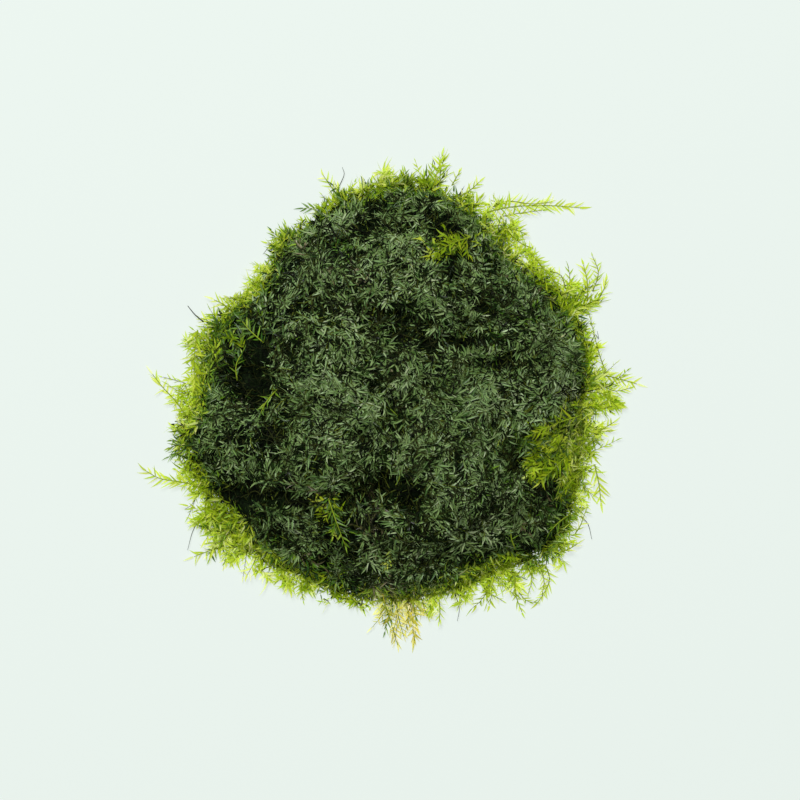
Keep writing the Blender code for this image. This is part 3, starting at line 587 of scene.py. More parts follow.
def smooth_line(points, count):
    """This many places along a smooth line through the points, evenly spaced."""
    ends = [Vector(points[0]) * 2 - Vector(points[1])]
    ends += [Vector(point) for point in points]
    ends.append(Vector(points[-1]) * 2 - Vector(points[-2]))
    line = []
    for i in range(1, len(ends) - 2):
        a, b, c, d = ends[i - 1 : i + 3]
        for step in range(STEPS_BETWEEN):
            t = step / STEPS_BETWEEN
            bend = (a * 2 - b * 5 + c * 4 - d) * t * t
            line.append((b * 2 + (c - a) * t + bend + (b * 3 - a - c * 3 + d) * t**3) * 0.5)
    line.append(Vector(points[-1]))
    line = np.array(line)
    far = np.concatenate([[0], np.cumsum(np.linalg.norm(np.diff(line, axis=0), axis=1))])
    at = np.linspace(0, far[-1], count)
    return np.stack([np.interp(at, far, line[:, k]) for k in range(line.shape[1])], -1), far[-1]


def new_material(name):
    """A material with an empty node tree, and the tree."""
    material = bpy.data.materials.new(name)
    material.use_nodes = True
    material.node_tree.nodes.clear()
    return material, material.node_tree


# Materials


def leaf_material(name, tones, through, roughness, shine, rib_shade, edge_shade, gloss):
    """Leaf blade one cell thick, wet: its tone from the map's column, its rib darker, and its margins and
    foot painted darker as the shade between overlapping leaves.
    """
    material, tree = new_material(name)
    leaf_map = add_node(tree, "UVMap", {"uv_map": "leaf_map"})
    place = add_node(tree, "SeparateXYZ", inputs={0: leaf_map.outputs[0]})
    spread = add_node(tree, "Math", {"operation": "MULTIPLY"}, {0: place.outputs[0], 1: TONES})
    column = add_node(tree, "Math", {"operation": "FLOOR"}, {0: spread.outputs[0]})
    across = add_node(tree, "Math", {"operation": "FRACT"}, {0: spread.outputs[0]})
    rows = add_node(tree, "Math", {"operation": "MULTIPLY"}, {0: place.outputs[1], 1: FAMILIES})
    along = add_node(tree, "Math", {"operation": "FRACT"}, {0: rows.outputs[0]})
    tone = add_node(tree, "Math", {"operation": "DIVIDE"}, {0: column.outputs[0], 1: TONES - 1})
    ramp = add_node(tree, "ValToRGB", inputs={0: tone.outputs[0]})
    set_ramp(ramp.color_ramp, tones)
    # Each tone is a little off in hue and light, so that leaves of near tones still differ
    odds = add_node(tree, "TexWhiteNoise", {"noise_dimensions": "1D"}, {"W": column.outputs[0]})
    odds = add_node(tree, "SeparateXYZ", inputs={0: odds.outputs["Color"]})
    hue = add_node(tree, "MapRange", inputs={"Value": odds.outputs[0], "To Min": 0.485, "To Max": 0.515})
    value = add_node(tree, "MapRange", inputs={"Value": odds.outputs[1], "To Min": 0.86, "To Max": 1.14})
    varied = add_node(tree, "HueSaturation", inputs={
        "Hue": hue.outputs[0], "Value": value.outputs[0], "Color": ramp.outputs[0]})
    # The rib is a thin darker line; the margins are painted darker as the shade between leaves, and the blade
    # pales from its foot to its tip, the foot's darkening painted shade too
    aside = add_node(tree, "Math", {"operation": "SUBTRACT"}, {0: across.outputs[0], 1: 0.5})
    aside = add_node(tree, "Math", {"operation": "ABSOLUTE"}, {0: aside.outputs[0]})
    rib = add_node(tree, "MapRange", inputs={
        "Value": aside.outputs[0], "From Min": 0.03, "From Max": 0.12, "To Min": rib_shade, "To Max": 1.0})
    painted_margin_shade = add_node(tree, "MapRange", inputs={
        "Value": aside.outputs[0], "From Min": 0.28, "From Max": 0.46, "To Min": 1.0, "To Max": edge_shade})
    foot = add_node(tree, "MapRange", inputs={
        "Value": along.outputs[0], "From Min": 0.0, "From Max": 0.4, "To Min": edge_shade, "To Max": 1.05})
    shade = add_node(tree, "Math", {"operation": "MULTIPLY"}, {0: rib.outputs[0], 1: painted_margin_shade.outputs[0]})
    shade = add_node(tree, "Math", {"operation": "MULTIPLY"}, {0: shade.outputs[0], 1: foot.outputs[0]})
    blade = add_node(tree, "Mix", {"data_type": "RGBA", "blend_type": "MULTIPLY"}, {
        0: 1.0, 6: varied.outputs[0], 7: shade.outputs[0]})
    surface = add_node(tree, "BsdfPrincipled", inputs={
        "Base Color": blade.outputs[2], "Roughness": roughness, "IOR": 1.45, "Specular IOR Level": gloss,
        "Coat Weight": shine, "Coat Roughness": 0.15, "Coat IOR": 1.33})
    # A blade one cell thick lets more light through than it throws back
    lit = add_node(tree, "Gamma", inputs={0: blade.outputs[2], 1: 0.55})
    glow = add_node(tree, "BsdfTranslucent", inputs={"Color": lit.outputs[0]})
    mixed = add_node(tree, "MixShader", inputs={0: through, 1: surface.outputs[0], 2: glow.outputs[0]})
    add_node(tree, "OutputMaterial", inputs={0: mixed.outputs[0]})
    return material


def heart_material():
    """Old stems and leaves packed under the living shoots, and painted near black as the shade deep in the
    mat: matted, with no gleam.
    """
    material, tree = new_material("packed old stems in painted shade")
    coords = add_node(tree, "TexCoord")
    strands = add_node(tree, "TexNoise", inputs={
        "Vector": coords.outputs["Object"], "Scale": 1 / (STRAND_GAP * MM), "Detail": 3.0, "Distortion": 1.5})
    ramp = add_node(tree, "ValToRGB", inputs={0: strands.outputs[0]})
    set_ramp(ramp.color_ramp, ((0.35, "#020601"), (0.55, "#081204"), (0.75, "#152208")))
    bump = add_node(tree, "Bump", inputs={
        "Height": strands.outputs[0], "Strength": 0.6, "Distance": 0.3 * MM})
    surface = add_node(tree, "BsdfPrincipled", inputs={
        "Base Color": ramp.outputs[0], "Roughness": 0.8, "Specular IOR Level": 0.05,
        "Normal": bump.outputs[0]})
    add_node(tree, "OutputMaterial", inputs={0: surface.outputs[0]})
    return material


def table_material():
    """Pale opal acrylic lit from below, so nothing on it casts a hard shadow."""
    material, tree = new_material("opal acrylic")
    surface = add_node(tree, "BsdfPrincipled", inputs={
        "Base Color": linear("#626664"), "Roughness": 0.9, "Specular IOR Level": 0.05,
        "Emission Color": linear("#e9f3ed"), "Emission Strength": 0.76})
    add_node(tree, "OutputMaterial", inputs={0: surface.outputs[0]})
    return material


# Leaves


def model_leaf(name, widths, fold, droop):
    """One leaf, one unit long along +Y: a grid drawn in row by row, folded along its rib and bent down."""
    rows = len(widths) - 1
    bpy.ops.object.select_all(action="DESELECT")
    bpy.ops.mesh.primitive_grid_add(x_subdivisions=2, y_subdivisions=rows, size=1)
    leaf = bpy.context.object
    leaf.name = name
    bpy.ops.object.mode_set(mode="EDIT")
    shape = bmesh.from_edit_mesh(leaf.data)

    def choose(test):
        for vert in shape.verts:
            vert.select_set(test(vert.co))
        shape.select_flush_mode()
        bmesh.update_edit_mesh(leaf.data)

    bpy.ops.mesh.select_mode(type="VERT")
    choose(lambda co: abs(co.x) < NEAR)
    bpy.ops.transform.translate(value=(0, 0, -fold))
    for row, width in enumerate(widths):
        y = row / rows - 0.5
        choose(lambda co: abs(co.y - y) < NEAR)
        bpy.ops.transform.resize(value=(max(width, 0.001), 1, max(width, 0.001)), center_override=(0, y, 0))
        bpy.ops.transform.translate(value=(0, 0, -droop * (row / rows) ** 2))
    for row, width in enumerate(widths):
        if width == 0:
            choose(lambda co: abs(co.y - (row / rows - 0.5)) < NEAR)
            bpy.ops.mesh.merge(type="CENTER")
            shape = bmesh.from_edit_mesh(leaf.data)
    bpy.ops.mesh.select_all(action="SELECT")
    bpy.ops.transform.translate(value=(0, 0.5, 0))
    bpy.ops.object.mode_set(mode="OBJECT")
    mesh = leaf.data
    points = np.array([vert.co for vert in mesh.vertices])
    corners = [list(face.vertices) for face in mesh.polygons]
    uvs = np.array([loop.uv for loop in mesh.uv_layers.active.data])
    bpy.data.objects.remove(leaf)
    return points, corners, uvs


class Growth:
    """Leaves and stems gathered to be one mesh."""

    def __init__(self):
        self.points, self.loops, self.sizes, self.uvs, self.slots, self.smooth = [], [], [], [], [], []
        self.count = 0

    def add(self, points, corners, uvs, family, tone, smooth):
        """Copies of one shape: their points, one set of faces and its map, and a family and tone for each."""
        copies, n, _ = points.shape
        loops = np.concatenate([np.array(face) for face in corners])
        sizes = np.array([len(face) for face in corners])
        start = self.count + np.arange(copies)[:, None] * n
        self.points.append(points.reshape(-1, 3))
        self.loops.append((start + loops[None]).ravel())
        self.sizes.append(np.tile(sizes, copies))
        column = np.clip((tone * (TONES - 1)).round(), 0, TONES - 1)
        inset = np.clip(uvs, MAP_MARGIN, 1 - MAP_MARGIN)
        u = (column[:, None] + inset[None, :, 0]) / TONES
        v = (family[:, None] + inset[None, :, 1]) / FAMILIES
        self.uvs.append(np.stack([u, v], -1).reshape(-1, 2))
        self.slots.append(np.repeat(family, len(corners)))
        self.smooth.append(np.full(copies * len(corners), smooth))
        self.count += copies * n

    def make(self, name, materials):
        """The mesh object, between the ground and the clump's top."""
        points = np.concatenate(self.points)
        points[:, 2] = np.clip(points[:, 2], LOWEST, clump_top)
        sizes = np.concatenate(self.sizes)
        loops = np.concatenate(self.loops)
        uvs = np.concatenate(self.uvs).astype(np.float32).ravel()
        mesh = bpy.data.meshes.new(name)
        mesh.vertices.add(len(points))
        mesh.vertices.foreach_set("co", (points * MM).astype(np.float32).ravel())
        mesh.loops.add(len(loops))
        mesh.loops.foreach_set("vertex_index", loops.astype(np.int32))
        mesh.polygons.add(len(sizes))
        mesh.polygons.foreach_set("loop_start", (np.cumsum(sizes) - sizes).astype(np.int32))
        mesh.update(calc_edges=True)
        for layer in ("leaf_map", "OFBake"):
            mesh.uv_layers.new(name=layer).data.foreach_set("uv", uvs)
        mesh.polygons.foreach_set("material_index", np.concatenate(self.slots).astype(np.int32))
        mesh.polygons.foreach_set("use_smooth", np.concatenate(self.smooth))
        for material in materials:
            mesh.materials.append(material)
        piece = bpy.data.objects.new(name, mesh)
        bpy.context.scene.collection.objects.link(piece)
        return piece


def leaves_along(growth, shape, points, ups, leaf, count, family, tone, rng, style, by_place=None):
    """Two rows of leaves on shoots that all have this many a side, and one leaf at each tip.
    by_place() changes a leaf's family and tone by where it grows."""
    shoots, stations, _ = points.shape
    # Where each leaf grows, as a share of its shoot, and on which side of it
    steps = (np.arange(count)[:, None] + np.array([0.0, 0.5])) / count
    steps = np.concatenate([steps.ravel() * 0.97, [0.999]])
    hands = np.concatenate([np.tile([-1.0, 1.0], count), [0.0]])
    i = np.minimum((steps * (stations - 1)).astype(int), stations - 2)
    share = (steps * (stations - 1) - i)[None, :, None]
    foot = points[:, i] * (1 - share) + points[:, i + 1] * share
    along = unit(points[:, i + 1] - points[:, i])
    up = ups[:, i] * (1 - share) + ups[:, i + 1] * share
    up = unit(up - along * (up * along).sum(-1, keepdims=True))
    side = np.cross(up, along) * hands[None, :, None]
    size = (shoots, len(steps))
    # The way it points, and the way its upper face looks
    angle = np.radians(style["angle"] - 10 * steps[None] + rng.normal(0, style["spread"], size))[..., None]
    lift = rng.uniform(*style["lift"], size)[..., None]
    way = unit(along * np.cos(angle) + side * np.sin(angle) + up * lift)
    face = unit(up - way * (up * way).sum(-1, keepdims=True))
    roll = np.radians(rng.normal(0, style["roll"], size))[..., None]
    face = face * np.cos(roll) + np.cross(way, face) * np.sin(roll)
    across = np.cross(way, face)
    # It is longest a third of the way up its shoot, and bows to one side
    length = leaf[:, None] * (0.72 + 0.28 * np.sin(np.pi * np.minimum(1, steps + 0.15)))[None]
    length = length * rng.uniform(*style["lengths"], size)
    width = style["width"] * leaf[:, None] * rng.uniform(0.85, 1.15, size)
    bow = rng.normal(0, style["bow"], size) * length
    foot = foot + along * rng.normal(0, style["slip"], size)[..., None]
    local, corners, uvs = shape
    made = (
        foot[:, :, None]
        + across[:, :, None] * (local[:, 0] * width[..., None] + local[:, 1] ** 2 * bow[..., None])[..., None]
        + way[:, :, None] * (local[:, 1] * length[..., None])[..., None]
        + face[:, :, None] * (local[:, 2] * width[..., None])[..., None]
    )
    tones = tone[:, None] + rng.normal(0, style["tone_spread"], size)
    families = np.broadcast_to(family[:, None], size)
    if by_place:
        families, tones = by_place(foot[..., 0], foot[..., 1], families, tones, rng)
    growth.add(
        made.reshape(-1, len(local), 3), corners, uvs,
        families.ravel(), np.clip(tones, 0, 1).ravel(), style["smooth"],
    )


def grow_leaves(growth, shape, points, ups, lengths, spacing, leaf, family, tone, rng, style, by_place=None):
    """Leaves on shoots of many lengths, as many a side as each has room for."""
    sides = np.maximum(FEWEST_A_SIDE, (lengths / spacing).round().astype(int))
    for count in np.unique(sides):
        group = sides == count
        leaves_along(
            growth, shape, points[group], ups[group], leaf[group], count,
            family[group], tone[group], rng, style, by_place,
        )


def stems_along(growth, points, ups, radius, sides, tone):
    """A thin stem down the middle of each shoot, tapering to its tip. One of two sides is a flat ribbon."""
    shoots, stations, _ = points.shape
    along = unit(np.gradient(points, axis=1))
    up = unit(ups - along * (ups * along).sum(-1, keepdims=True))
    side = np.cross(up, along)
    taper = radius * np.linspace(1.0, 0.45, stations)[None, :, None, None]
    turn = np.linspace(0, math.tau, sides, endpoint=False)
    ring = side[:, :, None] * np.cos(turn)[:, None] + up[:, :, None] * np.sin(turn)[:, None]
    made = (points[:, :, None] + ring * taper).reshape(shoots, stations * sides, 3)
    corners, uvs = [], []
    for k in range(stations - 1):
        for s in range(sides if sides > 2 else 1):
            after = (s + 1) % sides
            corners.append([k * sides + s, k * sides + after, (k + 1) * sides + after, (k + 1) * sides + s])
            low, high = k / (stations - 1), (k + 1) / (stations - 1)
            uvs += [(s / sides, low), ((s + 1) / sides, low), ((s + 1) / sides, high), (s / sides, high)]
    if sides > 2:
        corners.append([(stations - 1) * sides + s for s in range(sides)])
        uvs += [(0.5, 1.0)] * sides
    growth.add(made, corners, np.array(uvs), np.full(shoots, STEM), tone, True)


# Lying on the clump


class Lie:
    """The surface of one solid, for laying shoots on it."""

    def __init__(self, node):
        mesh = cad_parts[node].data
        mesh.calc_loop_triangles()
        self.points = np.array([vert.co for vert in mesh.vertices]) / MM
        self.faces = np.array([face.vertices for face in mesh.loop_triangles])
        self.tree = BVHTree.FromPolygons(self.points.tolist(), self.faces.tolist())

    def below(self, x, y):
        """Height and up direction of the surface under this place, or None beside it."""
        hit, up, _, _ = self.tree.ray_cast(Vector((x, y, 100)), Vector((0, 0, -1)))
        return (hit.z, up) if hit else None

    def nearest(self, point):
        """The nearest place on the surface, and its up direction."""
        hit, up, _, _ = self.tree.find_nearest(point)
        return hit, up

    def scatter(self, count, rng, keep):
        """Random places on the faces that keep() takes, evenly by area."""
        corners = self.points[self.faces]
        cross = np.cross(corners[:, 1] - corners[:, 0], corners[:, 2] - corners[:, 0])
        area = np.linalg.norm(cross, axis=1) / 2
        area = area * keep(corners.mean(axis=1), unit(cross))
        chosen = rng.choice(len(area), count, p=area / area.sum())
        a, b = rng.uniform(size=(2, count, 1))
        a, b = np.where(a + b > 1, 1 - a, a), np.where(a + b > 1, 1 - b, b)
        corners = corners[chosen]
        return corners[:, 0] + (corners[:, 1] - corners[:, 0]) * a + (corners[:, 2] - corners[:, 0]) * b


def edge_share(x, y, edge=MAT_EDGE):
    """How far out this place is, from 0 in the middle to 1 at the edge, and its angle."""
    dx, dy = x - CLUMP_CENTRE[0], y - CLUMP_CENTRE[1]
    angle = np.arctan2(dy, dx)
    return np.hypot(dx, dy) / around(edge, angle), angle


def combed(x, y):
    """The way the shoots lie at this place: in swirls, and brushed outwards near the edge."""
    swirl = noise.noise(Vector((x / SWIRL_SIZE, y / SWIRL_SIZE, 2.3)))
    eddy = noise.noise(Vector((x / EDDY_SIZE, y / EDDY_SIZE, 8.1)))
    angle = math.tau * (SWIRL_TURNS * swirl + EDDY_TURNS * eddy)
    share, outward = edge_share(x, y)
    pull = min(1.0, max(0.0, (share - BRUSHED_FROM) / BRUSHED_OVER))
    return towards(angle) * (1 - pull) + towards(outward) * pull * 1.2


def lay_dense(places, rng, lifts, lengths):
    """Routes that creep over the mat from these places, each rising from its buried root to its tip."""
    routes, ups = [], []
    for place, (low, high), length in zip(places, lifts, lengths):
        spot, up = mat.nearest(Vector(place))
        turn = rng.normal(0, 0.5) + (math.pi if rng.uniform() < AGAINST_THE_COMB else 0.0)
        far, outward = edge_share(spot.x, spot.y)
        heading = turned(combed(spot.x, spot.y), turn)
        # A shoot that heads outwards stops soon past the mat's edge
        if heading.x * math.cos(outward) + heading.y * math.sin(outward) > 0.2 * heading.length:
            length = min(length, max(3.0, (1.0 - far) * around(MAT_EDGE, outward) + 1.2))
        bend = rng.normal(0, BEND)
        step = length / (STATIONS - 1)
        line, normals = [], []
        for k in range(STATIONS):
            share = k / (STATIONS - 1)
            line.append(spot + up * (low + (high - low) * share - SINK * spot.z))
            normals.append(up)
            ahead = heading - up * heading.dot(up)
            ahead = ahead.normalized() if ahead.length > 1e-6 else Vector((1, 0, 0))
            heading = ahead + up.cross(ahead) * bend
            spot, up = mat.nearest(spot + ahead * step)
        routes.append(line)
        ups.append(normals)
    return np.array(routes), np.array(ups)


def tilted(routes, ups, degrees):
    """The up directions, each shoot rolled about its own line by this many degrees."""
    along = unit(np.gradient(routes, axis=1))
    roll = np.radians(degrees)[:, None, None]
    return unit(ups * np.cos(roll) + np.cross(along, ups) * np.sin(roll))


def inside(x, y, middle_x, middle_y, half_long, half_wide, turn):
    """Square of how far these places lie from a patch's middle, as a share of its half sizes."""
    dx, dy = x - CLUMP_CENTRE[0] - middle_x, y - CLUMP_CENTRE[1] - middle_y
    c, s = math.cos(math.radians(turn)), math.sin(math.radians(turn))
    a, b = (dx * c + dy * s) / half_long, (dy * c - dx * s) / half_wide
    return a * a + b * b


def rise_at(x, y):
    """How far these places stand up out of the mat's surface, or sink into it."""
    rise = np.zeros_like(x)
    for *patch, height in HOLLOWS_AND_LUMPS.values():
        rise += height * np.exp(-inside(x, y, *patch))
    return rise


def families_at(x, y, rng):
    """The leaf family of a shoot at each place."""
    odds = rng.uniform(size=(len(PATCHES) + 1, len(x)))
    family = np.where(odds[0] < OLD_SHARE, OLD, WET)
    for (*patch, amount, kind), chance in zip(PATCHES.values(), odds[1:]):
        family = np.where(chance < amount * np.exp(-inside(x, y, *patch) ** 2), kind, family)
    return family


def age_by_place(x, y, families, tones, rng):
    """Leaves are painted darker in the pits as shade and lighter on the lumps as light; green by the mat's
    edge and fresh past it.
    """
    rise = rise_at(x, y)
    # Wet leaves deep in the pits are swapped for ones painted near black as shade
    sunk = 1.5 * (-rise - 0.3) > rng.uniform(size=x.shape)
    families = np.where((families == WET) & sunk, PAINTED_SHADE, families)
    shade = np.where(families == WET, np.where(rise < 0, HOLLOW_SHADE, LUMP_LIGHT), OTHER_SHADE)
    tones = tones + shade * rise
    share = edge_share(x, y, DARK_EDGE)[0] + rng.normal(0, 0.025, x.shape)
    families = np.where((share > GREEN_FROM) & (rng.uniform(size=x.shape) < 0.7), GREEN, families)
    return np.where(share > FRESH_FROM, FRESH, families), tones


# How the leaves stand on a shoot: degrees from the stem and their spread, lift, roll in degrees, width as a
# share of length, spread of lengths, bow, slip along the stem, and spread of tones
DENSE_STYLE = {
    "angle": 30, "spread": 20, "lift": (-0.08, 0.14), "roll": 10, "width": 0.16, "lengths": (0.5, 1.2),
    "bow": 0.4, "slip": 0.4, "tone_spread": 0.16, "smooth": False,
}
FRESH_STYLE = {
    "angle": 46, "spread": 12, "lift": (-0.15, 0.3), "roll": 30, "width": 0.145, "lengths": (0.65, 1.15),
    "bow": 0.14, "slip": 0.12, "tone_spread": 0.2, "smooth": True,
}
PRESSED_STYLE = {
    "angle": 42, "spread": 14, "lift": (-0.015, 0.015), "roll": 2, "width": 0.2, "lengths": (0.6, 1.2),
    "bow": 0.3, "slip": 0.3, "tone_spread": 0.2, "smooth": False,
}
TUFT_STYLE = {
    "angle": 40, "spread": 16, "lift": (-0.05, 0.15), "roll": 14, "width": 0.16, "lengths": (0.6, 1.15),
    "bow": 0.16, "slip": 0.2, "tone_spread": 0.15, "smooth": True,
}


def grow_dense(name, shape, count, root_lift, tip_rise, painted_light_by_depth, seed, shaded, thinned):
    """One layer of the interlaced shoots that cover the mat. A share of them is painted near black as shade,
    and a share of those over a hollow is left out."""
    rng = np.random.default_rng(seed)
    places = mat.scatter(count, rng, lambda middle, up: (up[:, 2] > -0.3) & (middle[:, 2] > 0.8))
    low = rng.uniform(*root_lift, count)
    high = low + rng.uniform(*tip_rise, count)
    lengths = rng.uniform(*DENSE_LENGTH, count)
    routes, ups = lay_dense(places, rng, list(zip(low, high)), lengths)
    middle = routes[:, STATIONS // 2]
    rise = rise_at(middle[:, 0], middle[:, 1])
    kept = rng.uniform(size=count) > thinned * np.clip(-1.5 * (rise + 0.2), 0, 1)
    routes, ups, lengths, middle, rise = (values[kept] for values in (routes, ups, lengths, middle, rise))
    count = len(routes)
    routes[:, :, 2] += RELIEF * np.clip(rise, -1, 1)[:, None]
    ups = tilted(routes, ups, np.clip(rng.normal(0, 12, count), -20, 20))
    family = families_at(middle[:, 0], middle[:, 1], rng)
    # This share of the layer is painted near black as shade
    family = np.where(rng.uniform(size=count) < shaded, PAINTED_SHADE, family)
    mottle = np.array([noise.noise(Vector((x / MOTTLE_SIZE, y / MOTTLE_SIZE, 5.5))) for x, y, _ in middle])
    # Deeper layers are painted darker as shade and higher ones lighter, by their tone shift
    tone = 0.52 + MOTTLE * mottle + rng.normal(0, 0.1, count) + painted_light_by_depth - 0.2 * (family == GREEN)
    leaf = rng.uniform(*DENSE_LEAF, count) * np.where(family == FRESH, 1.2, 1.0)
    growth = Growth()
    grow_leaves(
        growth, shape, routes, ups, lengths, DENSE_SPACING, leaf,
        family, tone, rng, DENSE_STYLE, age_by_place,
    )
    stems_along(growth, routes, ups, DENSE_STEM_RADIUS, 2, np.clip(tone * 0.6, 0, 1))
    return growth.make(name, leaf_finishes)


def grow_underside(name, seed):
    """Shoots pressed flat under the clump, each in one plane, their upper face down."""
    rng = np.random.default_rng(seed)
    routes = []
    for _ in range(UNDERSIDE_SHOOTS):
        angle, share = rng.uniform(0, math.tau), 0.95 * math.sqrt(rng.uniform())
        edge = min(around(DARK_EDGE, angle), around(MAT_EDGE, angle))
        spot = Vector(CLUMP_CENTRE) + towards(angle) * edge * share
        flow = combed(spot.x, spot.y)
        way = math.atan2(flow.y, flow.x) + rng.normal(0, 0.6)
        length = min(rng.uniform(*UNDERSIDE_LENGTH), max(3.0, (1 - share) * edge + 1.0))
        height = rng.uniform(*UNDERSIDE_HEIGHT)
        bend = rng.normal(0, BEND)
        line = []
        for _ in range(STATIONS):
            line.append((spot.x, spot.y, height))
            spot = spot + towards(way) * length / (STATIONS - 1)
            way += bend
        routes.append(line)
    routes = np.array(routes)
    ups = np.broadcast_to((0.0, 0.0, -1.0), routes.shape)
    # A share of them is painted near black as the shade under the clump
    family = rng.choice([PAINTED_SHADE, WET, OLD], UNDERSIDE_SHOOTS, p=[0.4, 0.45, 0.15])
    tone = rng.normal(0.4, 0.15, UNDERSIDE_SHOOTS)
    leaf = rng.uniform(*DENSE_LEAF, UNDERSIDE_SHOOTS)
    growth = Growth()
    leaves_along(
        growth, simple_leaf, routes, ups, leaf, UNDERSIDE_LEAVES_A_SIDE, family, tone, rng, PRESSED_STYLE)
    stems_along(growth, routes, ups, DENSE_STEM_RADIUS, 2, np.clip(tone * 0.6, 0, 1))
    return growth.make(name, leaf_finishes)


def grow_bare_stems(name, seed):
    """Dark stems, bare of leaves, that wind over the dense shoots; their near black also paints the shade of
    the gaps between leaves.
    """
    rng = np.random.default_rng(seed)
    growth = Growth()
    places = mat.scatter(BARE_STEMS, rng, lambda middle, up: (up[:, 2] > 0.2) & (middle[:, 2] > 2.0))
    routes, ups = [], []
    for place in places:
        spot, up = mat.nearest(Vector(place))
        ahead = turned(combed(spot.x, spot.y), rng.normal(0, 0.7))
        step = rng.uniform(*BARE_STEM_LENGTH) / (STATIONS + 1)
        lift = rng.uniform(*BARE_STEM_LIFT)
        bend = rng.normal(0, 0.35)
        line, normals = [], []
        for _ in range(STATIONS + 2):
            line.append(spot + up * (lift - SINK * spot.z))
            normals.append(up)
            ahead = (ahead - up * ahead.dot(up)).normalized()
            spot, up = mat.nearest(spot + ahead * step)
            bend = 0.6 * bend + rng.normal(0, 0.3)
            ahead = ahead + up.cross(ahead) * bend
        routes.append(line)
        ups.append(normals)
    routes, ups = np.array(routes), np.array(ups)
    inner = edge_share(routes[:, -1, 0], routes[:, -1, 1], DARK_EDGE)[0] < 0.97
    routes, ups = routes[inner], ups[inner]
    # Their near black tone also paints the shade of the gaps between leaves
    tone = np.clip(rng.normal(0.05, 0.08, len(routes)), 0, 1)
    stems_along(growth, routes, ups, BARE_STEM_RADIUS, 2, tone)
    return growth.make(name, leaf_finishes)


def rim_route(angle, lean, reach, rng):
    """A fresh shoot's line from under the mat's edge out to this reach, lying on the ground."""
    root = min(around(DARK_EDGE, angle), around(MAT_EDGE, angle)) - rng.uniform(*RIM_ROOT_DEPTH)
    heading = towards(angle + lean)
    length = max(SHORTEST_RIM_SHOOT, (reach - TIP_LEAF_REACH - root) / max(0.6, math.cos(lean)))
    spot = Vector(CLUMP_CENTRE) + towards(angle) * root
    under = mat.below(spot.x, spot.y)
    low = rng.uniform(0.2, max(0.4, min(under[0] if under else 0.5, 2.4)))
    high = abs(rng.normal(0, RIM_TIP_LIFT)) + RIM_CLEARANCE
    bend = rng.normal(0, RIM_BEND)
    line = []
    for k in range(STATIONS):
        share = k / (STATIONS - 1)
        height = low * (1 - share) ** 1.6 + high * share**1.5 + RIM_CLEARANCE
        under = mat.below(spot.x, spot.y)
        if under:
            height = max(height, under[0] - 1.3 * (1 - share) ** 2)
        line.append((spot.x, spot.y, height))
        spot = spot + heading * length / (STATIONS - 1)
        heading = (heading + Vector((-heading.y, heading.x)) * bend).normalized()
    return line, length


def grow_rim(name, seed):
    """Fresh shoots that come out from under the mat's edge: the low fringe, then the tufts."""
    rng = np.random.default_rng(seed)
    grown, leaf, tone, family = [], [], [], []
    for k in range(FRINGE_SHOOTS):
        angle = math.tau * (k + rng.uniform(0, 1)) / FRINGE_SHOOTS
        height = around(FRINGE_REACH, angle) * (
            1 + 0.8 * noise.noise(Vector((math.cos(angle), math.sin(angle), 3.1)) * 9))
        reach = around(DARK_EDGE, angle) + height * rng.uniform(0.4, 1.25)
        grown.append(rim_route(angle, rng.normal(0, 0.6), reach, rng))
        leaf.append(rng.uniform(*RIM_LEAF) * 0.85)
        tone.append(rng.normal(0.22, 0.22))
        family.append(FRESH if rng.uniform() < FRINGE_FRESH else GREEN)
    for middle, half_width, tips, lean, shoots, shade, kind in RIM_TUFTS.values():
        for _ in range(shoots):
            aside = np.clip(rng.normal(0, 0.5), -1, 1)
            angle = math.radians(middle + half_width * aside)
            edge = around(DARK_EDGE, angle)
            reach = edge + (tips - edge) * (1 - 0.6 * abs(aside)) * rng.uniform(0.45, 1.05)
            turn = math.radians(lean) + 0.4 * aside + rng.normal(0, 0.24)
            grown.append(rim_route(angle, turn, reach, rng))
            leaf.append(rng.uniform(*RIM_LEAF))
            tone.append(rng.normal(shade, 0.22))
            family.append(kind if rng.uniform() < TUFT_OWN_FAMILY else GREEN)
    count = len(grown)
    routes = np.array([line for line, _ in grown])
    lengths = np.array([length for _, length in grown])
    ups = tilted(routes, np.broadcast_to(UPWARDS, routes.shape), rng.normal(0, 28, count))
    family, leaf = np.array(family), np.array(leaf)
    tone = np.clip(tone, np.where(family == GREEN, 0.55, 0.0), 1.0)
    growth = Growth()
    grow_leaves(growth, fine_leaf, routes, ups, lengths, RIM_SPACING, leaf, family, tone, rng, FRESH_STYLE)
    stems_along(growth, routes, ups, RIM_STEM_RADIUS, 3, np.clip(rng.normal(0.55, 0.22, count), 0, 1))
    return growth.make(name, leaf_finishes)


def on_ground(flat, rise):
    """A line at this height over the ground, or over the mat where it passes it."""
    line = []
    for (x, y), up in zip(flat, rise):
        under = mat.below(x, y)
        line.append((x, y, max(up, under[0] + 0.2 if under else 0.0)))
    return line


